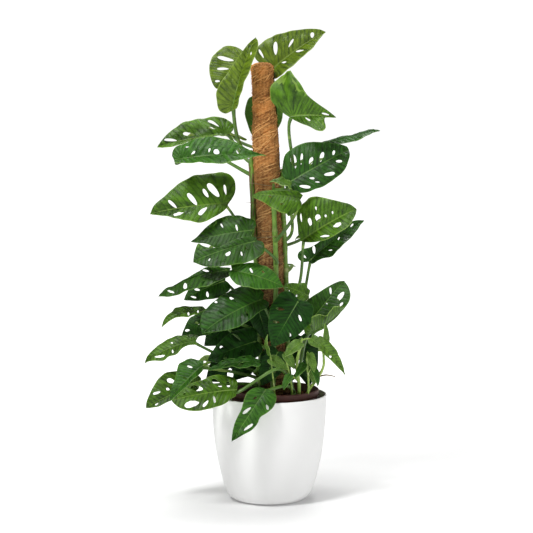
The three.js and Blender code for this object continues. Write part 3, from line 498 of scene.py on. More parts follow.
class Effects:
    """The node groups that several finishes share, each built once."""

    @staticmethod
    def group(name: str, inputs: dict[str, str], outputs: Sequence[str], fill: Callable) -> bpy.types.NodeTree:
        """Returns a node group, built when it is first asked for.

        Args:
            name: The group's name.
            inputs: Kind of each input.
            outputs: Names of its outputs, which are all values.
            fill: Takes the wiring and the inputs and returns a socket for each output.

        Returns:
            The group's tree.
        """
        if name in bpy.data.node_groups:
            return bpy.data.node_groups[name]
        tree = bpy.data.node_groups.new(name, "ShaderNodeTree")
        for label, kind in inputs.items():
            tree.interface.new_socket(name=label, in_out="INPUT", socket_type=f"NodeSocket{kind}")
        for label in outputs:
            tree.interface.new_socket(name=label, in_out="OUTPUT", socket_type="NodeSocketFloat")
        start, end = tree.nodes.new("NodeGroupInput"), tree.nodes.new("NodeGroupOutput")
        wire = Wiring(tree)
        wire.fill(end, dict(zip(outputs, fill(wire, start.outputs))))
        return tree

    @staticmethod
    def mottle() -> bpy.types.NodeTree:
        """Broad clouds with finer flecks in them, from 0 to 1."""

        def fill(wire: Wiring, given: Sequence[Socket]) -> tuple[Socket, ...]:
            """Wires clouds, flecks and their sum."""
            clouds = wire.remap(wire.speckle(given[0], given[1], 2.0), 0.33, 0.67)
            flecks = wire.remap(wire.speckle(given[0], given[2], 4.0, 0.65), 0.3, 0.7)
            return clouds, flecks, wire.weigh((clouds, 0.65), (flecks, 0.35))

        inputs = {"Vector": "Vector", "Broad": "Float", "Fine": "Float"}
        return Effects.group("Mottle", inputs, ("Clouds", "Flecks", "Both"), fill)

    @staticmethod
    def veins() -> bpy.types.NodeTree:
        """Masks of a leaf's veins from its map: side veins at whole numbers of u, v from midrib to margin.

        Returns:
            The group's tree.
        """

        def fill(wire: Wiring, given: Sequence[Socket]) -> tuple[Socket, ...]:
            """Wires a mask for each output.

            Args:
                wire: The group's wiring.
                given: The group's inputs.

            Returns:
                The masks, in the order of the outputs.
            """
            chart, place = given[0], given[1]
            axes = wire.add("SeparateXYZ", {0: chart})
            along, out = axes.outputs[0], axes.outputs[1]
            swayed = wire.weigh((along, 1.0), (wire.speckle(place, 90.0, 1.0), 0.34), start=0.5 - 0.17)
            away = wire.maths("ABSOLUTE", wire.weigh((wire.maths("FRACT", swayed), 1.0), start=-0.5))
            wide = wire.weigh((out, -0.055), start=0.085)
            side = wire.remap(wire.maths("DIVIDE", away, wide), 0.35, 1.25, 1.0, 0.0)
            side = wire.maths("MULTIPLY", side, wire.remap(out, 0.86, 1.0, 1.0, 0.2))
            cells = wire.add("TexVoronoi", {"Vector": place, "Scale": 420.0}, feature="DISTANCE_TO_EDGE")
            drift = {0: place, 1: (38.0, 38.0, 38.0), 2: chart}
            drift = wire.add("VectorMath", drift, operation="MULTIPLY_ADD").outputs[0]
            return (
                side,
                wire.remap(out, 0.012, 0.05, 1.0, 0.0),
                wire.remap(out, 0.94, 0.99),
                wire.remap(away, 0.0, 0.3),
                wire.remap(cells.outputs[0], 0.0, 0.16, 1.0, 0.0),
                wire.remap(wire.speckle(drift, 1.35, 3.0, 0.6), 0.32, 0.68),
            )

        outputs = ("Side veins", "Midrib", "Margin", "Between", "Net", "Panels")
        return Effects.group("Leaf veins", {"Map": "Vector", "Place": "Vector"}, outputs, fill)


def new_material(name: str) -> tuple[bpy.types.Material, Wiring, bpy.types.Node]:
    """Starts a material.

    Args:
        name: The material's name.

    Returns:
        The material, its wiring and its Principled shader.
    """
    material = bpy.data.materials.new(name)
    material.use_nodes = True
    return material, Wiring(material.node_tree), material.node_tree.nodes["Principled BSDF"]


class LeafSide(Enum):
    """The three kinds of surface on a blade."""

    UPPER = 0
    UNDER = 1
    EDGE = 2


@dataclass
class Canvas:
    """What a finish is wired on: tree, shader, Object coordinates, the mottle's outputs and a blade's side."""

    wire: Wiring
    shader: bpy.types.Node
    place: Socket
    mottle: Sequence[Socket]
    side: LeafSide | None

    def paint(self, colour: Socket, rough: Socket, bump: tuple[Socket, float, float], shine: float = 0.5) -> None:
        """Joins a look to the shader.

        Args:
            colour: Its base colour.
            rough: Its roughness.
            bump: Height, strength and distance of its relief.
            shine: Its specular level.
        """
        normal = self.wire.add("Bump", dict(zip(("Height", "Strength", "Distance"), bump))).outputs[0]
        looks = {"Base Color": colour, "Roughness": rough, "Normal": normal, "Specular IOR Level": shine}
        self.wire.fill(self.shader, looks)


@dataclass(frozen=True)
class Finish:
    """A named surface with clouds and flecks, whose material is built when it is first asked for."""

    name: str

    mottling: ClassVar[tuple[float, float]] = (1.0, 1.0)  # scale of the clouds and of the flecks

    def material(self, side: LeafSide | None = None) -> bpy.types.Material:
        """Returns the finish as a material.

        Args:
            side: Upper face, underside or cut edge, on a blade.

        Returns:
            The material, made once.
        """
        name = self.name if side is None else f"{self.name} {side.name.lower()}"
        if name not in bpy.data.materials:
            _, wire, shader = new_material(name)
            place = wire.place()
            inputs = dict(zip(("Vector", "Broad", "Fine"), (place, *self.mottling)))
            mottle = wire.add("Group", inputs, node_tree=Effects.mottle()).outputs
            self.wire_up(Canvas(wire, shader, place, mottle, side))
        return bpy.data.materials[name]

    def wire_up(self, on: Canvas) -> None:
        """Wires the material; each kind of finish has its own way."""
        raise NotImplementedError


@dataclass(frozen=True)
class LeafFinish(Finish):
    """The colours of one leaf's surfaces, from its deep green to its veins, with painted light and shade on its
    swellings, in its vein grooves and in broad patches.
    """

    deep: str
    light: str
    vein: str
    gloss: float = 0.36
    shine: float = 0.3

    mottling = (26.0, 310.0)

    def wire_up(self, on: Canvas) -> None:
        """Wires the upper face, the underside or the cut edge.

        Args:
            on: The new material's canvas.
        """
        wire, place, mottle = on.wire, on.place, on.mottle
        deep, light, vein = srgb(self.deep), srgb(self.light), srgb(self.vein)
        if on.side is LeafSide.EDGE:
            colour = wire.mix(wire.weigh((mottle["Both"], 0.5)), vein, light)
            on.paint(colour, wire.remap(mottle["Flecks"], 0, 1, 0.4, 0.55), (mottle["Flecks"], 0.2, 0.0003))
            return
        chart = wire.add("UVMap", uv_map="veins").outputs[0]
        veins = wire.add("Group", {"Map": chart, "Place": place}, node_tree=Effects.veins()).outputs
        # Painted light and shade mixed with random tone: Between lightens the swellings between the side veins
        # like a highlight and leaves the veins darker, and Panels lays broad lighter and darker patches, partly
        # random tone and partly painted light and shade.
        tones = (mottle["Both"], 0.4), (veins["Between"], 0.2), (veins["Panels"], 0.52)
        # Painted shade: the side veins, more where the clouds are dark, are darkened towards the deep green as
        # shade in their grooves.
        groove_shade = wire.maths("MULTIPLY", veins["Side veins"], wire.remap(mottle["Clouds"], 0, 1, 0.08, 0.5))
        colour = wire.mix(wire.weigh(*tones, start=-0.06), deep, light)
        colour = wire.mix(wire.weigh((veins["Net"], 0.16)), colour, light)
        colour = wire.mix(groove_shade, colour, deep)
        colour = wire.mix(wire.weigh((veins["Midrib"], 0.45)), colour, vein)
        colour = wire.mix(wire.weigh((veins["Margin"], 0.5)), colour, vein)
        rough = wire.remap(mottle["Both"], 0, 1, self.gloss - 0.05, self.gloss + 0.09)
        lines = wire.maths("MAXIMUM", wire.weigh((veins["Side veins"], 0.5)), veins["Midrib"])
        swell = (veins["Between"], 0.6), (mottle["Flecks"], 0.25), (veins["Net"], -0.18), (lines, -0.35)
        height = wire.weigh(*swell)
        if on.side is LeafSide.UNDER:
            colour = wire.mix(0.45, colour, vein)
            rough = wire.remap(mottle["Both"], 0, 1, 0.55, 0.7)
            height = wire.weigh((height, -1.0))
        on.paint(colour, rough, (height, 0.7, 0.0006), self.shine)


class LeafTone(Enum):
    """The greens that the leaves come in, partly their own colour and partly painted light and shade: the crown
    green is lighter for the lit top leaves, and the dark and shaded greens are darker for leaves in shade.
    """

    # Lighter yellow green: partly painted light for the lit top leaves.
    CROWN = LeafFinish("Topmost leaf", "1b3403", "6c8619", "96ac50", 0.38)
    BLUISH = LeafFinish("Bluish leaf", "0d2e04", "41771a", "80a64e", 0.38, 0.26)
    MIDDLE = LeafFinish("Middle leaf", "0f2604", "568218", "8cac46", 0.38, 0.26)
    DEEP = LeafFinish("Deep leaf", "0a2002", "366411", "6a923c", 0.4)
    # Partly the leaves' own deep green and partly painted shade for leaves that lie in shade.
    DARK = LeafFinish("Dark leaf", "061402", "2f6212", "5c8630", 0.4, 0.26)
    # A darker copy of the green: painted shade for leaves deep in the cluster.
    SHADED = LeafFinish("Shaded leaf", "020a01", "1f4c10", "3c6822", 0.5, 0.14)
    FRESH = LeafFinish("Fresh leaf", "264410", "668e2c", "9ab460", 0.4)


@dataclass(frozen=True)
class StalkFinish(Finish):
    """A green stalk with fine lengthwise streaks and paler rings."""

    deep: str
    light: str
    ring: str

    mottling = (34.0, 380.0)

    def wire_up(self, on: Canvas) -> None:
        """Wires the stalk's material."""
        wire, place, mottle = on.wire, on.place, on.mottle
        streaks = wire.speckle(wire.stretch(place, (420.0, 420.0, 24.0)), 1.0, 2.0)
        rings = wire.remap(wire.speckle(wire.stretch(place, (14.0, 14.0, 46.0)), 1.0, 1.0), 0.6, 0.72)
        colour = wire.mix(wire.weigh((mottle["Both"], 0.6), (streaks, 0.4)), srgb(self.deep), srgb(self.light))
        colour = wire.mix(wire.weigh((rings, 0.7)), colour, srgb(self.ring))
        on.paint(colour, wire.remap(streaks, 0.3, 0.7, 0.36, 0.52), (streaks, 0.35, 0.0005))


@dataclass(frozen=True)
class FibreFinish(Finish):
    """Coir: dry brown fibre whose colour changes from the pole's foot to its top, with its shade colour painted
    as shade in the gaps between the strands.
    """

    low: str
    high: str
    shade: str
    pale: str

    mottling = (42.0, 620.0)

    def wire_up(self, on: Canvas) -> None:
        """Wires the coir's material.

        Args:
            on: The new material's canvas.
        """
        wire, place, mottle = on.wire, on.place, on.mottle
        height = wire.add("SeparateXYZ", {0: place}).outputs[2]
        slanted = wire.stretch(place, (90.0, 90.0, 900.0), 24.0)
        strands = wire.remap(wire.speckle(slanted, 1.0, 3.0, 0.6), 0.32, 0.68)
        tint = wire.add("Attribute", attribute_name="tint").outputs["Fac"]
        shine = wire.maths("MULTIPLY", tint, wire.weigh((strands, 0.5), start=0.5))
        # Partly random tone and partly painted shade: fibres with a low tint, above all the sleeve under the
        # loose threads, and dark clouds are drawn towards the shade colour, as shade in the gaps between the
        # strands.
        fibre_tone_and_gap_shade = wire.remap(mottle["Both"], 0.0, 0.8, 0.95, 0.35)
        fibre_tone_and_gap_shade = wire.maths("MULTIPLY", wire.weigh((tint, -1.0), start=1.0), fibre_tone_and_gap_shade)
        colour = wire.mix(wire.remap(height, 0.35, 0.84), srgb(self.low), srgb(self.high))
        colour = wire.mix(wire.weigh((shine, 0.75)), colour, srgb(self.pale))
        colour = wire.mix(fibre_tone_and_gap_shade, colour, srgb(self.shade))
        relief = wire.weigh((strands, 1.0), (mottle["Flecks"], 1.0))
        on.paint(colour, wire.remap(strands, 0, 1, 0.75, 0.92), (relief, 0.7, 0.001), 0.2)


@dataclass(frozen=True)
class EarthFinish(Finish):
    """Soil, bark and the dark crumbs between them."""

    dark: str
    light: str

    mottling = (120.0, 900.0)

    def wire_up(self, on: Canvas) -> None:
        """Wires the soil's material."""
        wire, mottle = on.wire, on.mottle
        colour = wire.mix(mottle["Both"], srgb(self.dark), srgb(self.light))
        on.paint(colour, wire.remap(mottle["Clouds"], 0, 1, 0.85, 1.0), (mottle["Both"], 0.9, 0.002), 0.25)


@dataclass(frozen=True)
class ShellFinish(Finish):
    """A moulded or glazed pot wall: an even colour with faint clouds, fine grain and light rubbing."""

    colour: str
    shade: str
    gloss: float
    grain: float = 1.0

    mottling = (11.0, 520.0)

    def wire_up(self, on: Canvas) -> None:
        """Wires the pot wall's material."""
        wire, mottle = on.wire, on.mottle
        colour = wire.mix(wire.weigh((mottle["Clouds"], 0.6)), srgb(self.colour), srgb(self.shade))
        rough = wire.remap(mottle["Both"], 0, 1, self.gloss - 0.04, self.gloss + 0.06)
        on.paint(colour, rough, (mottle["Flecks"], 0.08 * self.grain, 0.0004))


CLIMBING_STEM = StalkFinish("Climbing stem", "3a5f1a", "7fa63c", "b3b878")
PETIOLE = StalkFinish("Petiole", "2e5014", "628a30", "94b056")
YOUNG_STEM = StalkFinish("Young stem", "6c9238", "acc862", "dbe0a8")
ROOT = StalkFinish("Aerial root", "45331c", "7d6038", "8f7a50")
TIE = StalkFinish("Plant tie", "6f6040", "9a8a62", "b8aa84")
# The coir's third colour, 3c1d0e, is the painted shade in the gaps between the strands.
COIR = FibreFinish("Coir", "5c321a", "f29c4c", "3c1d0e", "fbd28c")
STAKE = FibreFinish("Wooden stake", "9a7a50", "a88658", "8a6a42", "c0a072")
SOIL = EarthFinish("Potting soil", "24140d", "5c3824")
BARK = EarthFinish("Bark crumbs", "382013", "80502f")
PLANTER = ShellFinish("Satin white glaze", "f9f9f8", "f6f6f5", 0.55)
NURSERY = ShellFinish("Red-brown plastic", "5a2d22", "401f18", 0.5, 4.0)


# ---------------------------------------------------------------- leaves

BLADE_THICKNESS = 0.0008
VEIN_ANGLE = math.radians(60)
FIRST_VEIN = 0.08  # shares of the blade's length
VEINED = 0.68
PLAIN_GAP = 0.07
DRIP_TIP = 0.06
FULLNESS = 0.75
FULLNESS_WIDEST = 0.811
WAVES, RIPPLES = 2.2, 5.3
VEINS_PER_HOLE = {1: 5, 2: 3, 3: 1, 4: 1, 5: 1}
HOLE_SIDES = 22
PUNCH_DEPTH = 0.006
CELL_LENGTH, CELL_WIDTH = 0.0027, 0.0032  # about the size of a blade's facets

Pairs = tuple[tuple[float, float], ...]


@dataclass(frozen=True)
class LeafForm:
    """One leaf, in millimetres: the ends of its midrib, the way its face looks, its width, bend and holes.

    left and right are a leaf's own margins on the flat blade (along the midrib, out from it), seen from above
    with the tip pointing away, and ovals its own holes (x, y, half length, half width, degrees to the
    midrib). Without ovals, holes counts those of the left and the right half. vine and height, or share on a
    young stem, say where the petiole grows.
    """

    name: str
    base: Point
    tip: Point
    face: Point
    width: float
    tone: LeafTone = LeafTone.FRESH
    vine: str = ""
    height: float = 0.0
    fold: float = 22.0
    arch: float = 0.08
    holes: tuple[int, int] = (0, 0)
    skew: float = 1.0
    lobe: float = 0.24
    share: float = 0.0
    via: Point | None = None
    stalk: float = 3.3
    left: Pairs = ()
    right: Pairs = ()
    ovals: tuple[tuple[float, float, float, float, float], ...] | None = None


@dataclass(frozen=True)
class HoleShape:
    """An oval hole on the flat blade: its middle, its direction along the vein and its half sizes."""

    middle: np.ndarray
    along: np.ndarray
    half_length: float
    half_width: float

    def outline(self, turn: np.ndarray) -> np.ndarray:
        """Returns the hole's edge in each direction, a little wider towards the margin."""
        across = np.array([-self.along[1], self.along[0]])
        reach = self.half_length * np.cos(turn)
        spread = self.half_width * np.sin(turn) * (1 + 0.22 * np.cos(turn))
        return self.middle + reach[:, None] * self.along + spread[:, None] * across


@dataclass
class Blade:
    """The blade of one leaf, drawn flat with its midrib along +X and then bent into place."""

    form: LeafForm
    phase: float
    wave: float = 0.0024
    droop: float = 0.16
    puff: float = 0.17

    def __post_init__(self) -> None:
        """Works out the blade's length and frame."""
        self.base = metres(self.form.base)
        way = metres(self.form.tip) - self.base
        self.length = float(np.linalg.norm(way))
        self.along = way / self.length
        face = np.array(self.form.face, dtype=float)
        self.up = unit(face - self.along * (face @ self.along))
        self.left = np.cross(self.up, self.along)
        self.half = self.form.width / 2000
        self.drawn = {1: self.draw(self.form.left), -1: self.draw(self.form.right)}

    def draw(self, points: Pairs) -> Cloud | None:
        """Draws a smooth line through a half's own margin points, from the first of them to the tip.

        Args:
            points: The points in millimetres, or none.

        Returns:
            Share of the line's length, distance along the midrib and distance out from it.
        """
        if not points:
            return None
        nodes = [(0.0, 0.0, 0.0), *((x / 1000, y / 1000, 0.0) for x, y in points), (self.length, 0.0, 0.0)]
        line = through(nodes, 12 * (len(nodes) - 1))[12:]
        run = np.r_[0.0, np.cumsum(np.linalg.norm(np.diff(line, axis=0), axis=1))]
        return np.c_[run / run[-1], line[:, 0], np.maximum(line[:, 1], 0.0)]

    def margin(self, side: int, angle: np.ndarray) -> tuple[np.ndarray, np.ndarray]:
        """Follows the blade's outline.

        Args:
            side: 1 on the left half and -1 on the right.
            angle: 0 at the petiole to pi at the tip.

        Returns:
            Distance along the midrib and distance out from it.
        """
        drawn = self.drawn[side]
        if drawn is not None:
            place = np.asarray(angle) / np.pi
            return np.interp(place, drawn[:, 0], drawn[:, 1]), np.interp(place, drawn[:, 0], drawn[:, 2])
        share = (1 - np.cos(angle)) / 2
        cosine = np.maximum(np.cos(angle / 2), 0.0)
        back = self.form.lobe * np.sin(angle) * cosine**4
        along = self.length * ((1 - DRIP_TIP) * share + DRIP_TIP * share**8 - back)
        ripple = 1 + 0.018 * np.sin(9 * angle + self.phase + side) * np.sin(angle)
        half = (self.form.skew if side > 0 else 2 - self.form.skew) * self.half
        return along, half * np.sin(angle) * cosine**FULLNESS / FULLNESS_WIDEST * ripple

    def feet(self, angle: np.ndarray) -> np.ndarray:
        """Returns where on the midrib the grid line of each margin angle starts."""
        return self.length * ((1 - np.cos(angle)) / 2) ** 1.7

    def spacing(self, side: np.ndarray) -> np.ndarray:
        """Returns the distance between side veins on the midrib, for each side."""
        ruled = self.form.ovals is None
        shares = [VEINED / n / VEINS_PER_HOLE[n] if ruled and n else PLAIN_GAP for n in self.form.holes]
        return np.where(side > 0, shares[0] * self.length, shares[1] * self.length)

    def hole(self, side: int, n: int, count: int) -> HoleShape:
        """Places one hole along its side vein.

        Args:
            side: 1 on the left half and -1 on the right.
            n: The hole's number from the petiole.
            count: Holes on this half.

        Returns:
            The hole.
        """
        gap = VEINED * self.length / count
        start = FIRST_VEIN * self.length + gap * (n + 0.5)
        low, high = 0.6, 3.1
        for _ in range(20):
            middle = (low + high) / 2
            x, y = self.margin(side, np.array(middle))
            if x - start < abs(y) / math.tan(VEIN_ANGLE):
                low = middle
            else:
                high = middle
        x, y = self.margin(side, np.array(low))
        vein = np.array([float(x) - start, side * float(y)])
        size = float(np.linalg.norm(vein))
        vary = math.sin(2.4 * n + self.phase + side)
        half_length = size * (0.25 + 0.06 * vary)
        half_width = min(half_length * 0.55, gap * (0.25 + 0.04 * vary))
        place = np.array([start, 0.0]) + vein * (0.53 + 0.03 * vary)
        return HoleShape(place, vein / size, half_length, half_width)

    def holes(self) -> list[HoleShape]:
        """Returns all holes of both halves: the leaf's own ones, or as many as it counts."""
        if self.form.ovals is None:
            counts = zip((1, -1), self.form.holes)
            return [self.hole(side, n, count) for side, count in counts for n in range(count)]
        own = []
        for *sizes, turn in self.form.ovals:
            x, y, half_length, half_width = metres(sizes)
            way = np.array([math.cos(math.radians(turn)), math.sin(math.radians(turn))])
            own.append(HoleShape(np.array([x, y]), way, half_length, half_width))
        return own

    def chart(self, flat: np.ndarray, side: np.ndarray) -> tuple[np.ndarray, np.ndarray]:
        """Maps flat points to the veins: which vein, and how far out towards the margin.

        Args:
            flat: Points on the flat blade.
            side: 1 or -1 for each point.

        Returns:
            Vein number, whole on a vein, and share of the way to the margin along the grid's own lines.
        """
        x, y = flat[:, 0] - FIRST_VEIN * self.length, np.abs(flat[:, 1])
        ahead = x - y / math.tan(VEIN_ANGLE)
        turn = np.degrees(np.arctan2(y, x))
        number = np.where(ahead >= 0, ahead / self.spacing(side), -np.maximum(turn - 60.0, 0.0) / 21.0)
        angles = np.linspace(0, np.pi, 200)
        feet = self.feet(angles)
        out = np.zeros(len(flat))
        for way in (1, -1):
            mx, my = self.margin(way, angles)
            here = side == way
            px, py = flat[here, 0], y[here]
            best, share = np.full(len(px), 1e9), np.zeros(len(px))
            for k in range(1, len(angles) - 1):
                t = py / max(my[k], 1e-9)
                miss = np.abs(feet[k] + (mx[k] - feet[k]) * t - px)
                better = miss < best
                best, share = np.where(better, miss, best), np.where(better, t, share)
            out[here] = np.clip(share, 0, 1)
        return number, out

    def bend(self, flat: np.ndarray, height: np.ndarray) -> Cloud:
        """Bends flat points into the leaf's place.

        Args:
            flat: Points on the flat blade.
            height: Height above the middle surface.

        Returns:
            Their places.
        """
        form, half = self.form, self.half
        u = flat[:, 0] / self.length
        side, reach = np.sign(flat[:, 1]), np.abs(flat[:, 1])
        fold = math.radians(form.fold)
        slope = 4 * form.arch * (1 - 2 * u)[:, None]
        tangent, lift = unit(self.along + slope * self.up), unit(self.up - slope * self.along)
        swing = np.sin(2 * np.pi * WAVES * u + self.phase + side)
        swing += 0.35 * np.sin(2 * np.pi * RIPPLES * u + 2.1 * self.phase + side)
        rise = math.sin(fold) * reach - self.droop * reach**2 / half + self.wave * swing * (reach / half) ** 2
        tip_fall = 0.35 * self.length * np.maximum(u - 0.8, 0.0) ** 2
        place = (
            self.base
            + flat[:, :1] * self.along
            + (4 * form.arch * self.length * u * (1 - u) - tip_fall)[:, None] * self.up
            + (side * math.cos(fold) * reach)[:, None] * self.left
            + rise[:, None] * lift
        )
        cup = side * (math.sin(fold) - 2 * self.droop * reach / half)
        normal = unit(np.cross(tangent, math.cos(fold) * self.left + cup[:, None] * lift))
        return place + height[:, None] * np.where((side == 0)[:, None], lift, normal)

    def relief(self, flat: np.ndarray) -> np.ndarray:
        """Lets the blade swell between its veins.

        Args:
            flat: Points on the flat blade.

        Returns:
            How far each point rises.
        """
        side = np.where(flat[:, 1] >= 0, 1, -1)
        number, out = self.chart(flat, side)
        swell = np.abs(np.sin(np.pi * number)) ** 0.9 * np.clip(4 * out * (1 - out), 0, 1) ** 0.7
        layer = np.full(len(flat), self.phase)
        fine = noise(np.c_[flat / 0.012, layer], self.phase + 0.3)
        broad = noise(np.c_[flat / 0.034, layer], 1.9 * self.phase)
        puffed = self.puff * np.minimum(self.spacing(side), 0.022) * swell
        return puffed + (0.0005 * fine + 0.0017 * broad) * np.minimum(out * 4, 1)

    def build(self) -> Piece:
        """Models the blade: a grid drawn out to the leaf's outline, thickened, pierced and bent.

        Returns:
            The blade with its map and the finish of its three kinds of surface.
        """
        columns = int(np.clip(self.length / CELL_LENGTH, 18, 58))
        rows = 2 * int(np.clip(self.half / CELL_WIDTH, 5, 15))
        sheet = bpy.ops.mesh.primitive_grid_add
        blade = Bench.add(f"blade_{self.form.name}", sheet, x_subdivisions=columns, y_subdivisions=rows, size=2.0)
        grid = Bench.points(blade)
        angle, share = np.pi * (grid[:, 0] + 1) / 2, np.abs(grid[:, 1])
        flat = np.zeros_like(grid)
        for side in (1, -1):
            here = np.where(grid[:, 1] > -1e-6, 1, -1) == side
            x, y = self.margin(side, angle[here])
            feet = self.feet(angle[here])
            flat[here, 0] = feet + (x - feet) * share[here]
            flat[here, 1] = side * y * share[here]
        Bench.set_points(blade, flat)
        Bench.edit(blade, lambda: bpy.ops.mesh.remove_doubles(threshold=1e-5))
        Bench.modify(blade, "SOLIDIFY", thickness=BLADE_THICKNESS, offset=0.0)
        self.pierce(blade)
        self.dress(blade)
        solid = Bench.points(blade)
        Bench.set_points(blade, self.bend(solid[:, :2], solid[:, 2] + self.relief(solid[:, :2])))
        return blade

    def pierce(self, blade: Piece) -> None:
        """Cuts the holes, if there are any.

        Args:
            blade: The flat, thickened blade.
        """
        holes = self.holes()
        if holes:
            cylinder = bpy.ops.mesh.primitive_cylinder_add
            model = Bench.add("punch", cylinder, vertices=HOLE_SIDES, radius=1.0, depth=1.0)
            shape = Bench.points(model)
            turn = np.arctan2(shape[:, 0], shape[:, 1])
            clouds = [np.c_[hole.outline(turn), shape[:, 2] * PUNCH_DEPTH] for hole in holes]
            Bench.cut(blade, Bench.copies("punches", model, clouds))
            Bench.modify(blade, "TRIANGULATE", min_vertices=5)

    def dress(self, blade: Piece) -> None:
        """Gives the blade its vein map and its three finishes.

        Args:
            blade: The flat, pierced blade.
        """
        mesh = blade.data
        mesh.materials.clear()
        for side in LeafSide:
            mesh.materials.append(self.form.tone.value.material(side))
        tilt = Bench.values(mesh.polygons, "normal", 3)[:, 2]
        faces = np.where(tilt > 0, LeafSide.UPPER.value, LeafSide.UNDER.value)
        kinds = np.where(np.abs(tilt) <= 0.5, LeafSide.EDGE.value, faces)
        mesh.polygons.foreach_set("material_index", kinds.astype(np.int32))
        corner = Bench.values(mesh.loops, "vertex_index")
        left = np.where(Bench.values(mesh.polygons, "center", 3)[:, 1] >= 0, 1, -1)
        side = np.repeat(left, Bench.values(mesh.polygons, "loop_total"))
        number, out = self.chart(Bench.points(blade)[corner, :2], side)
        mesh.uv_layers.new(name="veins").data.foreach_set("uv", np.c_[number, out].ravel())
        Bench.smooth(blade, 40.0)


@dataclass
class Petiole:
    """The stalk between a stem and a blade, running on as the blade's midrib."""

    blade: Blade
    start: np.ndarray
    outward: np.ndarray
    radius: float
    finish: StalkFinish = PETIOLE

    def path(self) -> Cloud:
        """Returns the stalk's centre line from the stem to under the blade."""
        blade = self.blade
        sunk = blade.bend(np.array([[0.05 * blade.length, 0.0]]), np.array([-0.0006]))[0]
        reach = float(np.linalg.norm(sunk - self.start))
        leave = self.start + 0.28 * reach * self.outward + 0.12 * reach * UP
        arrive = sunk - 0.16 * reach * blade.along - 0.14 * reach * blade.up - 0.08 * reach * UP
        if blade.form.via is None:
            return hook((self.start, leave, arrive, sunk), 18)
        arrive = arrive + 0.75 * (sunk - arrive)
        return through([self.start, metres(blade.form.via), arrive, sunk], 22)

    def build(self) -> Piece:
        """Models stalk and midrib: flared where it clasps the stem, with a knee under the blade.

        Returns:
            The stalk.
        """
        stalk = self.path()
        share = np.linspace(0, 1, len(stalk))
        knee = 0.2 * np.exp(-(((share - 0.93) / 0.05) ** 2))
        thick = self.radius * (1 + 0.42 * np.exp(-share / 0.09) - 0.12 * share + knee)
        run = np.linspace(0.07, 0.985, 22)
        rib = self.blade.bend(np.c_[run * self.blade.length, np.zeros(22)], np.full(22, -0.00045))
        narrow = self.radius * 0.4 * (1 - run) ** 0.8 + 0.00022
        name = f"stalk_{self.blade.form.name}"
        return Bench.coat(Bench.sweep(name, np.vstack([stalk, rib]), np.r_[thick, narrow], 1), self.finish)


# ---------------------------------------------------------------- pots and soil


@dataclass
class Planter:
    """The round white cover pot, its outside running smoothly from foot to rim."""

    outline: Pairs = (
        (0.058, 0.0), (0.07, 0.003), (0.079, 0.0105), (0.0845, 0.022),
        (0.0945, 0.057), (0.1015, 0.092), (0.1065, 0.133), (0.11, 0.2),
    )
    height: float = 0.203
    wall: float = 0.003
    floor: float = 0.005
    lip: float = 0.0015

    def build(self) -> Piece:
        """Spins the pot's section and rounds its rim.

        Returns:
            The pot.
        """
        outside = [(float(p[0]), float(p[2])) for p in through([(r, 0.0, z) for r, z in self.outline], 42)]
        middle = outside[-1][0] - self.lip
        round_over = [
            (middle + self.lip * math.cos(turn), self.height - self.lip + self.lip * math.sin(turn))
            for turn in np.linspace(0.15, math.pi - 0.15, 9)
        ]
        inside = [(r - self.wall, z + 0.0008) for r, z in outside[:-1] if z > self.floor + self.wall][::-1]
        profile = [(0.0, 0.0016), (0.05, 0.0016), (0.0535, 0.0)] + outside + round_over + inside
        profile += [(0.066, self.floor + 0.0006), (0.06, self.floor), (0.0, self.floor)]
        pot = Bench.coat(Bench.lathe("planter_shell", profile, 144), PLANTER, 40.0)
        return Bench.carry(pot, "planter", "planter")


@dataclass
class NurseryPot:
    """The dark pot that the plant grows in, with a turned-over lip and drain holes."""

    centre: float = 0.010
    foot: float = 0.00535
    foot_radius: float = 0.05
    rim_radius: float = 0.085
    top: float = 0.213
    wall: float = 0.002
    lip_width: float = 0.003
    lip_depth: float = 0.012
    ledge: float = 0.0015
    drains: int = 4
    drain_radius: float = 0.006
    drain_ring: float = 0.032

    def radius(self, z: float) -> float:
        """Returns the outer radius of the wall at a height."""
        share = (z - self.foot) / (self.top - self.lip_depth - self.foot)
        return self.foot_radius + (self.rim_radius - self.lip_width - self.foot_radius) * share

    def build(self) -> Piece:
        """Spins the pot and drills its drain holes.

        Returns:
            The pot.
        """
        under, floor, foot, ledge = self.top - self.lip_depth, self.foot + self.wall, self.foot, self.ledge
        inner = self.radius(self.top) - self.wall
        profile = [
            (0.0, foot + 0.001), (0.03, foot + 0.001), (self.foot_radius - 0.004, foot),
            (self.foot_radius, foot + 0.002), (self.radius(0.06), 0.06), (self.radius(0.061) + 0.0004, 0.061),
            (self.radius(under), under), (self.rim_radius - 0.001, under), (self.rim_radius, under + 0.001),
            (self.rim_radius, self.top - ledge), (self.rim_radius - ledge, self.top),
            (inner + 0.0008, self.top), (inner, self.top - ledge),
            (self.radius(floor) - self.wall, floor), (0.0, floor),
        ]
        pot = Bench.lathe("nursery_pot_shell", profile, 96)
        cylinder = bpy.ops.mesh.primitive_cylinder_add
        drill = Bench.add("drill", cylinder, vertices=20, radius=self.drain_radius, depth=0.012)
        turns = 2 * math.pi * (np.arange(self.drains) + 0.5) / self.drains
        clouds = [Bench.points(drill) + place for place in around(turns, self.drain_ring, foot)]
        Bench.cut(pot, Bench.copies("drills", drill, clouds))
        Bench.set_points(pot, Bench.points(pot) + (self.centre, 0.0, 0.0))
        return Bench.carry(Bench.coat(pot, NURSERY, 35.0), "nursery_pot", "nursery_pot")


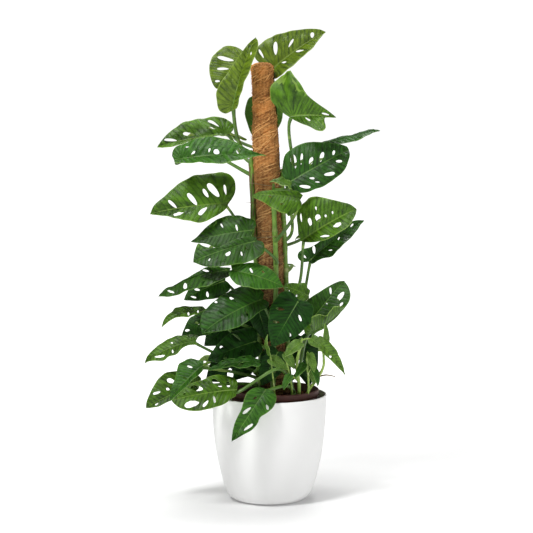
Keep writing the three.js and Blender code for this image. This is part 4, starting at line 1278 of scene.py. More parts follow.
@dataclass
class Earth:
    """The crumbled soil in the nursery pot, with bark crumbs lying on it."""

    pot: NurseryPot
    top: float = 0.197
    mound: float = 0.005
    gap: float = 0.00035
    crumbs: int = 420
    seed: int = 11

    def edge(self, z: float) -> float:
        """Returns the soil's radius at a height."""
        return self.pot.radius(z) - self.pot.wall - self.gap

    def height(self, x: np.ndarray, y: np.ndarray) -> np.ndarray:
        """Returns the height of the soil's surface, with x and y from the pot's axis."""
        reach = np.hypot(x, y) / self.edge(self.top)
        dome = self.mound * np.clip((1.0 - reach) / 0.5, 0, 1) ** 0.9
        swell = 0.0016 * np.sin(210 * x + 1) * np.cos(170 * y) * np.clip((1 - reach) * 6, 0, 1)
        return self.top + dome + swell

    def build(self) -> list[Piece]:
        """Models the soil body and its crumbs."""
        return [self.body(), self.bark()]

    def body(self) -> Piece:
        """Spins the soil and roughens its surface.

        Returns:
            The soil.
        """
        base = self.pot.foot + self.pot.wall + self.gap
        foot, edge = self.edge(base), self.edge(self.top)
        profile = [(0.0, base), (foot, base)]
        profile += [(foot + (edge - foot) * k / 6, base + (self.top - base) * k / 6) for k in range(1, 6)]
        profile += [(edge * share, self.top) for share in np.linspace(1.0, 0.0, 34)]
        body = Bench.lathe("soil_body", profile, 96)
        points = Bench.points(body)
        above = points[:, 2] > self.top - 1e-5
        x, y = points[above, 0], points[above, 1]
        level = np.c_[x, y, np.zeros(len(x))]
        rough = noise(level / 0.004, 0.7) + 0.7 * noise(level / 0.0016, 1.9)
        points[above, 2] = self.height(x, y) + 0.0011 * rough * np.clip((edge - np.hypot(x, y)) / 0.004, 0, 1)
        Bench.set_points(body, points + (self.pot.centre, 0.0, 0.0))
        return Bench.carry(Bench.coat(body, SOIL), "soil", "soil")

    def bark(self) -> Piece:
        """Scatters crumbs over the soil, by repeatable chance.

        Returns:
            The crumbs.
        """
        model = Bench.add("crumb", bpy.ops.mesh.primitive_ico_sphere_add, subdivisions=1, radius=1.0)
        shape = Bench.points(model)
        chance = np.random.default_rng(self.seed)
        clouds = []
        for k in range(self.crumbs):
            turn = chance.uniform(0, 2 * math.pi)
            reach = (self.edge(self.top) - 0.004) * math.sqrt(chance.uniform(0.02, 1))
            x, y = reach * math.cos(turn), reach * math.sin(turn)
            long = chance.uniform(0.0009, 0.0034)
            size = long * np.array([1.0, chance.uniform(0.5, 0.9), chance.uniform(0.35, 0.8)])
            spin = chance.uniform(0, 2 * math.pi)
            lumps = 1 + 0.22 * np.sin(7 * shape[:, 0] + k) * np.cos(5 * shape[:, 1] + 2 * k)
            local = shape * lumps[:, None] * size
            spun = np.array([[math.cos(spin), math.sin(spin), 0.0], [-math.sin(spin), math.cos(spin), 0.0], UP])
            z = float(self.height(np.array([x]), np.array([y]))[0]) + 0.3 * size[2]
            clouds.append(local @ spun + (x + self.pot.centre, y, z))
        crumbs = Bench.copies("bark_crumbs", model, clouds)
        Bench.close_up(crumbs, 1e-7)
        return Bench.carry(Bench.coat(crumbs, BARK, 0.0), "soil")


# ---------------------------------------------------------------- pole

SOIL_TOP = 0.197


@dataclass(frozen=True)
class Threads:
    """Threads laid on the winding: how many, their ranges of length and radius, their slant in degrees (mean
    and spread), how far the loosest end stands off, their segments and the seed of their chance."""

    name: str
    count: int
    lengths: tuple[float, float]
    sizes: tuple[float, float]
    slant: tuple[float, float]
    loose: float
    parts: int
    seed: int


@dataclass
class Pole:
    """The stake in its coir winding: a fibrous sleeve with loose strands over it, leaning a little."""

    foot_x: float = 0.014
    lean: float = 2.5
    length: float = 0.833 - SOIL_TOP
    radius: float = 0.0235
    top_radius: float = 0.0208
    taper: tuple[float, float] = (0.5, 0.545)
    foot: float = -0.009
    dome: float = 0.009
    relief: float = 0.0008
    turns: float = 3.0
    ring: float = 0.022
    fringe: tuple[Threads, ...] = (
        Threads("coir_cords", 640, (0.03, 0.085), (0.0006, 0.0014), (21, 12), 0.0, 7, 3),
        Threads("coir_fibres", 2400, (0.010, 0.04), (0.00014, 0.00034), (22, 24), 0.0075, 5, 9),
    )

    def axis(self, z: float) -> np.ndarray:
        """Returns the middle of the pole at a height."""
        return np.array([self.foot_x - math.tan(math.radians(self.lean)) * (z - SOIL_TOP), 0.0, z])

    def set_up(self, local: Cloud) -> Cloud:
        """Leans upright points, whose height starts at the soil, and sets them in the pot."""
        x, y, z = local.T
        cosine, sine = math.cos(math.radians(self.lean)), math.sin(math.radians(self.lean))
        return np.c_[x * cosine - z * sine + self.foot_x, y, x * sine + z * cosine + SOIL_TOP]

    def wall(self, angle: np.ndarray, z: np.ndarray) -> np.ndarray:
        """Returns the sleeve's radius, with its bulges, slanting ridges and hollows.

        Args:
            angle: Direction round the axis.
            z: Height above the soil.

        Returns:
            The radius at each place.
        """
        low, high = self.taper
        plain = self.radius + (self.top_radius - self.radius) * np.clip((z - low) / (high - low), 0, 1)
        wound = 2 * math.pi * self.turns * (z - self.foot) / (self.length - self.foot)
        ring = around(angle, self.ring, z)
        ridges = np.sin((z - 0.010 * angle) / 0.0062 * 2 * math.pi + 1.6 * noise(ring / 0.02, 0.4))
        ridges *= 0.0010 * (0.5 + 0.5 * noise(ring / 0.03, 2.2))
        lumps = 0.0009 * noise(ring / 0.013, 1.1) + 0.0005 * noise(ring / 0.005, 3.3)
        return plain + 0.8 * self.relief * np.sin(2 * angle + wound) + ridges + lumps

    def build(self) -> list[Piece]:
        """Models the winding, its loose strands and the stake."""
        return [self.sleeve(), *(self.strands(threads) for threads in self.fringe), self.stake()]

    def sleeve(self) -> Piece:
        """Models the winding from a grid rolled into a tube and domed at its top.

        Returns:
            The winding.
        """
        up, crown, shoulder = 300, 26, self.length - self.dome
        sheet = bpy.ops.mesh.primitive_grid_add
        sleeve = Bench.add("coir_sleeve", sheet, x_subdivisions=108, y_subdivisions=up + crown, size=2.0)
        grid = Bench.points(sleeve)
        angle = np.pi * (grid[:, 0] + 1)
        row = np.round((grid[:, 1] + 1) / 2 * (up + crown)).astype(int)
        cap = np.clip((row - up) / 12, 0, 1) * math.pi / 2
        z = self.foot + (shoulder - self.foot) * np.clip(row / up, 0, 1)
        domed = self.wall(angle, np.full_like(z, shoulder)) * np.cos(cap) ** 0.75
        radius = np.where(row > up, domed, self.wall(angle, z))
        z = np.where(row > up, shoulder + self.dome * np.sin(cap), z)
        rough = (row > up) & (cap < 0.98 * math.pi / 2)
        z = z + np.where(rough, 0.0006 * noise(around(angle, radius, z) / 0.004, 2.0), 0)
        Bench.set_points(sleeve, around(angle, radius, z))
        Bench.close_up(sleeve, 2e-6, caps=True)
        local = Bench.points(sleeve)
        Bench.set_points(sleeve, self.set_up(local))
        ring = around(np.arctan2(local[:, 1], local[:, 0]), self.ring, local[:, 2])
        # The sleeve's tint is kept low, which draws it towards the coir's shade colour: painted shade in the gaps
        # under the loose threads.
        Bench.tint(sleeve, np.clip(0.35 + 0.3 * noise(ring / 0.003, 4.1), 0, 1))
        return Bench.carry(Bench.coat(sleeve, COIR, 80.0), "coir", "pole_coir")

    def strands(self, threads: Threads) -> Piece:
        """Lays threads on the winding, each with a tint of its own.

        Args:
            threads: How many, how long and how loose.

        Returns:
            All the threads as one piece.
        """
        model = Bench.strand(3 if threads.parts < 6 else 4, threads.parts)
        shape = Bench.points(model)
        share = shape[:, 2]
        chance = np.random.default_rng(threads.seed)
        clouds, tints = [], []
        for _ in range(threads.count):
            angle = chance.uniform(0, 2 * math.pi)
            z = chance.uniform(-0.004, self.length - 0.006)
            long = chance.uniform(*threads.lengths)
            slope = math.radians(chance.normal(*threads.slant))
            off = chance.uniform(0, 1) ** 3 * threads.loose
            thick = chance.uniform(*threads.sizes)
            sag = chance.normal(0, 0.05) * long
            run = share * long
            angles = angle + run * math.cos(slope) / self.radius
            heights = np.minimum(z + run * math.sin(slope) + sag * np.sin(math.pi * share), self.length - 0.0012)
            over = np.clip((heights - (self.length - self.dome)) / self.dome, 0, 1)
            reach = self.wall(angles, heights) + 0.1 * thick + off * share**2
            reach = reach * np.sqrt(np.maximum(1 - over**2, 0.04))
            narrow = thick * np.sin(math.pi * (0.08 + 0.84 * share)) ** 0.6
            across = around(angles - math.pi / 2, math.sin(slope), math.cos(slope))
            body = around(angles, reach + shape[:, 0] * narrow, heights)
            clouds.append(self.set_up(body + across * (shape[:, 1] * narrow)[:, None]))
            tints.append(np.full(len(shape), chance.uniform(0.0, 1.0) ** 0.8))
        piece = Bench.copies(threads.name, model, clouds)
        Bench.tint(piece, np.concatenate(tints))
        Bench.edit(piece, lambda: bpy.ops.mesh.normals_make_consistent(inside=False))
        return Bench.carry(Bench.coat(piece, COIR, 80.0), "coir")

    def stake(self) -> Piece:
        """Turns the pointed stake inside the winding.

        Returns:
            The stake.
        """
        foot, top, radius = 0.024 - SOIL_TOP, self.length - 0.017, 0.011
        profile = [(0.0, foot), (0.0022, foot + 0.0004), (0.003, foot + 0.002), (0.0105, foot + 0.0135)]
        profile += [(radius, foot + 0.016 + (top - foot - 0.018) * k / 20) for k in range(21)]
        profile += [(0.0102, top - 0.0006), (0.0092, top), (0.0, top)]
        stake = Bench.lathe("wooden_stake", profile, 40)
        points = Bench.points(stake)
        angle = np.arctan2(points[:, 1], points[:, 0])
        points[:, :2] *= (1 - 0.012 * np.abs(np.sin(5 * angle + 6 * points[:, 2])))[:, None]
        Bench.set_points(stake, self.set_up(points))
        return Bench.carry(Bench.coat(stake, STAKE, 50.0), "stake", "pole_core")


# ---------------------------------------------------------------- stems


@dataclass(frozen=True)
class Climb:
    """How a climbing stem runs: its direction round the pole at foot and head, and where it ends."""

    name: str
    foot: float
    head: float
    top: float


CLIMBS = (
    Climb("left", 205, 172, 0.668),
    Climb("front", 262, 300, 0.606),
    Climb("right", 330, 372, 0.626),
    Climb("back", 110, 70, 0.752),
)


@dataclass
class Vine:
    """A climbing stem with swollen rings where leaves grew, and aerial roots into the coir."""

    climb: Climb
    pole: Pole
    radius: float = 0.0044
    foot: float = 0.172
    spread: float = 0.013
    spread_height: float = 0.07

    def point(self, z: float) -> np.ndarray:
        """Returns the stem's centre at a height."""
        climb, pole, above = self.climb, self.pole, z - SOIL_TOP
        share = min(max(above / (climb.top - SOIL_TOP), 0.0), 1.0)
        angle = math.radians(climb.foot + (climb.head - climb.foot) * share + 5 * math.sin(z * 1000 / 55))
        out = min(max(1 - above / self.spread_height, 0.0), 1.0)
        reach = pole.radius + pole.relief + self.radius - 0.0004 + self.spread * out**2
        return pole.axis(z) + (reach * math.cos(angle), reach * math.sin(angle), 0.0)

    def outward(self, z: float) -> np.ndarray:
        """Returns the level direction from the pole's axis to the stem."""
        return unit(self.point(z) - self.pole.axis(z))

    def build(self) -> Piece:
        """Models the stem and its rings."""
        heights = np.linspace(self.foot, self.climb.top, 110)
        phase = self.climb.foot / 40
        rings = np.abs(np.sin(math.pi * (heights / 0.047 + phase))) ** 14
        thick = (self.radius + 0.0006) * (0.95 + 0.03 * np.sin(heights * 90 + phase)) + 0.0007 * rings
        thick[-6:] *= np.linspace(1.0, 0.45, 6)
        stem = Bench.sweep(f"vine_{self.climb.name}", np.array([self.point(z) for z in heights]), thick, 3)
        return Bench.carry(Bench.coat(stem, CLIMBING_STEM), "stem", f"stem_{self.climb.name}")

    def roots(self) -> list[Piece]:
        """Models short aerial roots that reach from the stem into the coir.

        Returns:
            The roots, one by one.
        """
        found = []
        chance = np.random.default_rng(int(self.climb.foot))
        height = self.foot + 0.06
        while height < self.climb.top - 0.03:
            start, axis = self.point(height), self.pole.axis(height)
            inward = unit(axis - start)
            sideways = np.cross(inward, UP) * chance.choice((-1.0, 1.0))
            way = unit(start - axis + sideways * chance.uniform(0.018, 0.03))
            end = axis + way * (self.pole.radius + 0.0002) + UP * chance.uniform(-0.012, 0.004)
            bend = start + sideways * 0.008 - 0.002 * UP
            path = hook((start, bend, end - inward * 0.002, end + inward * 0.003), 7)
            found.append(Bench.sweep("root", path, np.linspace(0.0011, 0.0005, 8)))
            height += chance.uniform(0.03, 0.06)
        return found


@dataclass(frozen=True)
class ShootForm:
    """A young stem from the soil, in millimetres: the points it passes, its leaves and its radius at the foot."""

    name: str
    stem: tuple[Point, ...]
    leaves: tuple[LeafForm, ...]
    radius: float = 3.4
    packed: bool = True


@dataclass
class Foliage:
    """All leaves with their stalks, on the climbing stems and on the young shoots."""

    vines: dict[str, Vine]

    def grown(self, form: LeafForm, index: int) -> Piece:
        """Models one leaf of a climbing stem.

        Args:
            form: The leaf.
            index: Its place in the list, which sets how its margin waves.

        Returns:
            Blade and stalk as one piece.
        """
        vine, height = self.vines[form.vine], form.height / 1000
        outward = vine.outward(height)
        blade = Blade(form, 1.7 * index)
        stalk = Petiole(blade, vine.point(height) + 0.002 * outward, outward, form.stalk / 1000)
        leaf = Bench.join(f"dressed_{form.name}", [blade.build(), stalk.build()])
        return Bench.carry(leaf, "leaf", f"leaf_{form.name}")

    def shoot(self, form: ShootForm, index: int) -> Piece:
        """Models one young stem with its small leaves.

        Args:
            form: The shoot.
            index: Its place in the list.

        Returns:
            The shoot as one piece.
        """
        path, radius = through(metres(form.stem), 60), form.radius / 1000
        share = np.linspace(0, 1, len(path))
        thick = radius * (1 - 0.35 * share) + 0.0005 * np.abs(np.sin(math.pi * (share * 6.0 + 0.3 * index))) ** 16
        thick[-4:] *= np.linspace(0.9, 0.4, 4)
        parts = [Bench.coat(Bench.sweep(f"young_{form.name}", path, thick, 2), YOUNG_STEM)]
        steps = np.r_[0, np.cumsum(np.linalg.norm(np.diff(path, axis=0), axis=1))]
        for n, entry in enumerate(form.leaves):
            blade = Blade(entry, 1.7 * (index + n), wave=0.0008)
            start = np.array([np.interp(entry.share * steps[-1], steps, path[:, k]) for k in range(3)])
            stalk = Petiole(blade, start, unit(blade.base - start), min(0.0016, 0.7 * radius), YOUNG_STEM)
            parts += [blade.build(), stalk.build()]
        shoot = Bench.join(f"dressed_{form.name}", parts)
        return Bench.carry(shoot, "shoot", *([form.name] if form.packed else []))


@dataclass
class Sundries:
    """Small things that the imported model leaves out: aerial roots, a twig and the pale ties."""

    vines: dict[str, Vine]
    pole: Pole
    ties: tuple[float, ...] = (0.506, 0.604)
    tie_radius: float = 0.0005
    runners: int = 5
    wisps: tuple[tuple[Point, Point, Point, float], ...] = (
        ((0.0902, -0.044, 0.2417), (0.107, -0.05, 0.2465), (0.1237, -0.056, 0.2446), 0.0017),
        ((-0.0136, -0.01, 0.5628), (-0.0287, -0.014, 0.5686), (-0.0456, -0.022, 0.571), 0.0006),
        ((-0.0136, -0.008, 0.5759), (-0.0249, -0.012, 0.5742), (-0.0362, -0.018, 0.5632), 0.0006),
        ((-0.0136, -0.02, 0.5168), (-0.0042, -0.033, 0.5161), (0.0052, -0.04, 0.5173), 0.0007),
    )

    def build(self) -> list[Piece]:
        """Models roots and ties."""
        grown = [rod for vine in self.vines.values() for rod in vine.roots()]
        roots = Bench.join("aerial_roots", grown + self.loose())
        ties = Bench.join("plant_ties", [self.loop(height) for height in self.ties])
        pieces = (Bench.coat(roots, ROOT), Bench.coat(ties, TIE))
        return [Bench.carry(piece, "stem") for piece in pieces]

    def loose(self) -> list[Piece]:
        """Models the roots that run down the left stem, a twig, two root hairs and a thread."""
        rods = []
        for k in range(self.runners):
            heights = np.linspace(0.66 - 0.012 * k, 0.5 + 0.011 * k, 30)
            path = np.array([self.vines["left"].point(z) for z in heights])
            path += around(1.3 * k + 22 * heights, 0.0053, 0.0)
            rods.append(Bench.sweep("runner", path, 0.0011 + 0.0004 * np.sin(90 * heights + k)))
        for *points, thick in self.wisps:
            rods.append(Bench.sweep("wisp", through(points, 8), np.linspace(thick, 0.5 * thick, 9)))
        return rods

    def loop(self, height: float) -> Piece:
        """Models one tie, pulled tight round the pole and the stems.

        Args:
            height: Where it lies.

        Returns:
            The tie.
        """
        axis = self.pole.axis(height)
        stems = [vine.point(height) - axis for vine in self.vines.values() if height < vine.climb.top]
        path = []
        for turn in np.linspace(0, 2 * math.pi, 61):
            way = np.array([math.cos(turn), math.sin(turn), 0.0])
            reach = max([self.pole.radius + 0.0012] + [float(stem @ way) + 0.0052 for stem in stems])
            path.append(axis + reach * way + 0.003 * math.sin(turn + 40 * height) * UP)
        return Bench.sweep("loop", np.array(path), np.full(len(path), self.tie_radius))


# ---------------------------------------------------------------- tables of leaves and shoots

LEAVES = (
    LeafForm("crown_right", (5, 40, 819), (106, 20, 891), (-0.31, -0.83, 0.46), 100, LeafTone.CROWN, "back",
        728, 34, 0.05, left=((-4, 10), (-9, 27), (-9, 44), (2, 52), (13, 56), (34, 57), (59, 44), (84, 32),
        (107, 18), (119, 9)), right=((-3, 18), (1, 36), (18, 47), (38, 44), (62, 40), (86, 36), (106, 19)),
        ovals=((5, 38.1, 9.7, 2.2, 79), (31.4, 28.9, 13.4, 4.1, 59), (60.6, 16.9, 8.9, 2.2, 24), (101.4, 6.8,
        5.3, 3.4, 57), (67, -15.7, 11.6, 3, -50), (30.8, -14.6, 9.2, 2, -56))),
    LeafForm("crown_round", (-44, 46, 840), (-101, 38, 784), (-0.1, -0.88, 0.4), 100, LeafTone.CROWN, "back",
        710, 14, left=((-1, 10), (9, 19), (26, 22), (47, 22), (65, 15), (75, 8)), right=((-6, 9), (-6, 20), (-2,
        32), (6, 43), (18, 50), (35, 49), (52, 44), (65, 34), (74, 19), (79, 8)), ovals=((27.9, -26.9, 16.2,
        3.8, -59), (45, -15.8, 11.2, 2.5, -48), (68.3, -7, 4.7, 2, -51))),
    LeafForm("crown_upright", (-69, -30, 742), (-26, -34, 878), (-0.55, -0.82, -0.12), 76, LeafTone.CROWN,
        "left", 657, 35, 0.06, stalk=4.2, left=((-7, 11), (-5, 23), (4, 32), (17, 37), (34, 37), (52, 32), (76,
        23), (103, 14), (128, 7)), right=((8, 16), (28, 19), (49, 22), (67, 26), (82, 26), (98, 27), (117, 30),
        (131, 23)), ovals=((111.8, -11.9, 6.1, 2.7, -139), (54.7, 12.1, 3, 1.2, 29))),
    LeafForm("right_shield", (38, -47, 730), (124, -60, 730), (0, -0.93, 0.37), 142, LeafTone.MIDDLE, "right",
        581, 28, 0.1, stalk=3.6, left=((-10, 10), (-21, 22), (-28, 38), (-27, 54), (-24, 69), (-12, 84), (8,
        93), (14, 81), (24, 64), (35, 40), (51, 24), (69, 12)), right=((6, 6), (25, 20), (41, 30), (52, 39),
        (62, 41), (68, 31), (66, 17), (64, 8)), ovals=((36.2, -10.5, 7.1, 2.1, -47), (67.3, 3.8, 6.8, 1.7,
        169))),
    LeafForm("left_upper", (-73, 22, 699), (-213, 15, 674), (0, -0.7, 0.7), 80, LeafTone.MIDDLE, "left", 645,
        30, 0.03, left=((14, 10), (38, 5), (59, 4), (79, 11), (98, 18), (114, 21), (129, 16)), right=((-5, 6),
        (-6, 19), (2, 29), (14, 36), (32, 40), (53, 43), (72, 40), (92, 34), (112, 24), (130, 11)),
        ovals=((29.9, -24.8, 12.8, 2.9, -44), (33.9, -14, 7.6, 1.7, -23), (78.9, -10.1, 11, 3.5, -20), (114.5,
        -6, 12.2, 2.6, -18))),
    LeafForm("left_lower", (-177, -48, 650), (-6, -72, 661), (0, -0.7, 0.72), 84, LeafTone.BLUISH, "left", 621,
        30, 0.04, via=(-120, 12, 662), left=((-3, 9), (0, 21), (7, 28), (18, 32), (35, 37), (56, 40), (76, 40),
        (99, 34), (117, 25), (136, 12), (154, 4)), right=((4, 14), (16, 22), (35, 25), (55, 32), (73, 41), (88,
        46), (103, 38), (117, 29), (138, 21), (159, 8)), ovals=((27.3, 22.3, 3.5, 1.6, 166), (36.4, 6.3, 7.3, 2,
        46), (68.1, 10.6, 4.3, 1.9, 71), (81.7, 6.1, 5.8, 4.8, 146), (121.9, 6.3, 5.3, 3.5, 84))),
    LeafForm("left_big", (-77, -12, 567), (-223, -40, 550), (0, -0.85, 0.5), 104, LeafTone.MIDDLE, "left", 505,
        20, 0.05, left=((6, 11), (22, 25), (40, 36), (54, 41), (68, 41), (84, 35), (101, 27), (118, 16), (136,
        7)), right=((-3, 7), (-10, 13), (-16, 26), (-18, 42), (-14, 55), (-4, 64), (10, 70), (36, 66), (65, 60),
        (89, 50), (116, 29), (140, 14)), ovals=((25.9, -28.6, 16.7, 6.7, -59), (41.1, -23.6, 9.6, 3.6, -68),
        (3.6, -28.1, 10.5, 2.1, -88), (68, -14.1, 14.2, 4.6, -60), (105.8, -9.7, 10.7, 2.9, -53), (52.9, 15.5,
        12.7, 4.5, 43), (98.4, 15.3, 9.6, 4.2, 3))),
    LeafForm("mid_left", (-23, -66, 501), (-141, -80, 463), (0, -0.82, 0.57), 94, LeafTone.DEEP, "front", 456,
        15, 0.06, left=((-8, 5), (-8, 19), (-3, 31), (6, 38), (17, 42), (32, 42), (49, 41), (68, 40), (87, 33),
        (105, 22), (116, 11)), right=((1, 8), (17, 13), (36, 13), (56, 10), (75, 8), (89, 13), (99, 23), (104,
        31), (114, 20)), ovals=((59.4, 14, 5.7, 4.1, 34), (24.5, 12.8, 5.4, 1.5, 83), (36.3, 21.4, 5.5, 1.5,
        84), (95, 10.8, 3.5, 1.5, 51))),
    LeafForm("mid_behind", (-29, -36, 519), (-148, -30, 497), (0, -0.9, 0.45), 62, LeafTone.DEEP, "left", 479,
        10, 0.05, left=((9, 16), (29, 23), (48, 28), (64, 30), (78, 23), (90, 14), (105, 8)), right=((-6, 10),
        (-3, 20), (11, 26), (29, 35), (46, 38), (63, 32), (82, 24), (96, 14), (108, 5)), ovals=((30.8, -8.1, 6,
        1.7, -84), (57.4, -16.8, 4.9, 1.5, -71))),
    LeafForm("mid_centre", (-69, -92, 449), (26, -98, 419), (0, -0.75, 0.65), 66, LeafTone.BLUISH, "front", 429,
        14, 0.06, left=((-4, 9), (3, 18), (16, 17), (28, 24), (42, 27), (57, 27), (73, 20), (87, 11)),
        right=((-2, 10), (5, 23), (16, 30), (30, 33), (46, 32), (64, 25), (82, 15)), ovals=((34.9, 7.2, 5.9,
        1.9, 131), (55.8, 12, 3.9, 1.4, 143))),
    LeafForm("left_arch", (-74, -40, 444), (-208, -55, 397), (0, -0.65, 0.75), 62, LeafTone.DEEP, "left", 412,
        20, 0.1, left=((2, 15), (19, 29), (39, 35), (58, 34), (76, 35), (89, 35), (108, 28), (125, 20)),
        right=((-3, 4), (13, 8), (30, 13), (43, 13), (58, 9), (75, 4), (91, 3), (109, 1), (123, 5), (134, 3)),
        ovals=((117.9, 10.7, 10.6, 2.1, 122), (89, 17.9, 10.4, 3.6, 83), (55.8, 22.8, 6.2, 2.7, 45), (43.6,
        -6.6, 6.3, 2, -33))),
    LeafForm("left_curl", (-83, -34, 423), (-161, -34, 387), (-0.1, -0.9, 0.35), 54, LeafTone.DARK, "left", 364,
        14, 0.1, ovals=((54.1, -4.7, 5.3, 2.1, -37), (39.8, 13.7, 6, 2.2, 79), (66, 5.5, 6.1, 1.6, 136))),
    LeafForm("centre_big", (-12, -48, 390), (-125, -92, 331), (-0.1, -0.78, 0.6), 94, LeafTone.DARK, "front",
        325, 12, left=((-4, 13), (6, 24), (20, 26), (35, 30), (52, 34), (67, 34), (80, 33), (97, 27), (116,
        15)), right=((-9, 11), (-6, 25), (5, 35), (22, 43), (43, 45), (68, 42), (88, 41), (107, 35), (123, 22)),
        ovals=((79.9, -37.4, 3.3, 2.4, -75), (51.5, -22.9, 8.5, 2.5, -74), (83.3, -10.3, 5.9, 1.9, -72), (46.7,
        18.9, 7.8, 1.9, 73))),
    LeafForm("left_small", (-121, -44, 372), (-202, -56, 339), (0, -0.45, 0.9), 44, LeafTone.MIDDLE, "left",
        325, 15, 0.1, left=((6, 10), (21, 19), (36, 18), (54, 8), (66, 4), (77, 4)), right=((2, 6), (17, 11),
        (38, 18), (53, 27), (64, 16), (77, 10)), ovals=((33, 8.5, 7, 1.7, 82), (15.2, 9.2, 6, 1.4, 78))),
    LeafForm("left_low", (-138, -45, 310), (-233, -60, 271), (0, -0.6, 0.8), 56, LeafTone.MIDDLE, "left", 244,
        15, 0.1, left=((2, 14), (15, 12), (28, 13), (45, 22), (57, 22), (69, 24), (87, 12)), right=((-8, 10),
        (2, 18), (19, 18), (35, 21), (50, 22), (67, 18), (82, 13), (96, 8)), ovals=((73.5, 10.4, 10.4, 3, 153),
        (43.1, -8.6, 2.5, 1.7, -60), (48.4, 11.6, 5.9, 1.5, 81))),
    LeafForm("left_lattice", (-105, -14, 350), (-168, -12, 313), (-0.2, -0.8, 0.55), 54, LeafTone.DARK, "left",
        287, 10, 0.05, ovals=((55.5, -4, 4.8, 2.3, -28), (32.3, -6.2, 5.1, 2.3, -66))),
    LeafForm("low_left_a", (-131, -40, 230), (-232, -60, 186), (0, -0.85, 0.5), 88, LeafTone.MIDDLE, "left",
        219, 20, 0.05, left=((7, 11), (22, 15), (40, 14), (58, 13), (74, 12), (90, 12), (103, 6)), right=((-5,
        6), (0, 16), (13, 28), (29, 38), (47, 44), (62, 42), (79, 33), (95, 19), (106, 9)), ovals=((48.6, -24.5,
        7.9, 4.3, -47), (60.3, -12.5, 3.4, 2.3, -48), (81.8, -15.4, 7.2, 2.4, -12), (90.5, 5.7, 3.7, 1.9, 11))),
    LeafForm("low_left_b", (-124, -70, 267), (-186, -84, 203), (-0.45, -0.75, 0.5), 62, LeafTone.BLUISH, "left",
        233, 25, 0.06, left=((8, 15), (19, 17), (33, 12), (46, 14), (62, 13), (77, 8)), right=((-6, 5), (0, 15),
        (8, 31), (21, 36), (36, 31), (50, 22), (67, 14), (80, 7)), ovals=((18.9, -15.1, 5.8, 1.9, -69), (39.6,
        -5.5, 4.7, 1.5, -77))),
    LeafForm("low_left_c", (-60, -108, 228), (-179, -134, 213), (0, -0.8, 0.6), 82, LeafTone.MIDDLE, "right",
        225, 8, 0.05, via=(13, -96, 265), left=((4, 12), (16, 19), (24, 25), (39, 30), (56, 33), (70, 35), (85,
        33), (100, 27), (111, 20), (119, 9)), right=((-4, 10), (-3, 22), (7, 30), (21, 33), (38, 34), (54, 31),
        (70, 27), (85, 23), (99, 13), (112, 6)), ovals=((73.7, -12.6, 11.6, 5.7, -22), (35, -17.4, 11.7, 5.1,
        -51), (13.8, -13, 6.9, 4, -98), (89.1, 18.3, 13.4, 6.1, 0), (64.4, 22.8, 8.2, 2.8, 44), (46.5, 16.2,
        7.5, 2.2, 86), (97.7, -5.7, 2.6, 1.6, -159))),
    LeafForm("front_low", (-6, -112, 230), (-69, -150, 139), (0.2, -0.85, 0.45), 76, LeafTone.BLUISH, "right",
        210, 12, 0.06, via=(29, -82, 231), left=((-2, 11), (2, 23), (10, 28), (23, 30), (38, 26), (52, 20), (64,
        22), (79, 20), (94, 12), (106, 6)), right=((6, 13), (18, 23), (30, 26), (43, 23), (59, 18), (76, 16),
        (93, 12), (107, 6)), ovals=((54.9, -8, 9.8, 2.8, -19), (29, 20.6, 5.1, 2.3, 52), (78.8, 11.5, 10.2, 2.6,
        158), (26.7, -8.1, 4.2, 1.5, -26))),
    LeafForm("low_mid_a", (-23, -42, 310), (-117, -40, 272), (0, -0.84, 0.54), 68, LeafTone.SHADED, "front",
        283, 12, 0.06, holes=(2, 2)),
    # low_centre, in the shaded green, is a dark leaf put in the shade between the lower leaves.
    LeafForm("low_centre", (17, -46, 291), (-14, -50, 226), (0, -0.88, 0.45), 52, LeafTone.SHADED, "front", 252,
        12, 0.06, holes=(1, 0)),
    LeafForm("low_mid_b", (-21, -94, 276), (-114, -92, 262), (0, -0.2, 0.97), 50, LeafTone.DARK, "left", 240, 8,
        holes=(2, 3)),
    LeafForm("right_mid_big", (55, -74, 391), (5, -92, 306), (0.2, -0.8, 0.55), 80, LeafTone.SHADED, "front",
        302, 12, 0.05, ovals=((32.4, -22.2, 8.3, 2.6, -71), (57, -16.4, 6.8, 2.2, -71), (64.9, 18.8, 5.6, 1.9,
        51), (28.6, 19.2, 6.5, 2.1, 50))),
    LeafForm("right_up_low", (77, -24, 342), (141, -34, 423), (-0.2, -0.9, 0.3), 94, LeafTone.DEEP, "right",
        258, 15, 0.06, left=((1, 15), (12, 28), (28, 30), (41, 28), (55, 23), (72, 17), (86, 12), (98, 6)),
        right=((5, 12), (19, 23), (34, 32), (49, 37), (65, 38), (80, 37), (92, 30), (100, 16)), ovals=((73.3,
        6.4, 6.4, 1.9, 46), (78.8, -16.4, 9.5, 4.8, -177), (66, -27.7, 6.7, 2.2, -11), (51, -3.2, 2.3, 1.4,
        -98))),
    LeafForm("right_low_roll", (76, -57, 327), (142, -56, 376), (0.45, -0.6, -0.65), 40, LeafTone.MIDDLE,
        "right", 233, 10, 0.05, left=((-7, 9), (0, 26), (17, 38), (38, 29), (60, 25), (75, 16)), right=((3, 9),
        (16, 8), (32, 8), (50, 4), (67, 2)), ovals=()),
    LeafForm("right_mid_upper", (61, -26, 497), (161, -70, 561), (-0.25, -0.88, 0.4), 106, LeafTone.MIDDLE,
        "right", 383, 18, 0.05, left=((1, 14), (8, 29), (15, 46), (20, 59), (34, 64), (50, 65), (65, 61), (79,
        51), (93, 38), (108, 24), (120, 13)), right=((10, 9), (28, 20), (47, 28), (69, 32), (86, 32), (101, 29),
        (113, 21), (122, 10)), ovals=((35.2, 21.8, 8.2, 4, 75), (54, 18.5, 7.8, 5.5, 88), (58.8, 37.6, 3.8, 1.8,
        78), (69, 14.3, 3.7, 2, 85), (83.4, 14.5, 3.1, 1.6, 76), (22.5, 39.2, 8.8, 2, 72), (83.5, -14.4, 8.9,
        4.8, -17), (53.1, -22.1, 10.5, 2, -28))),
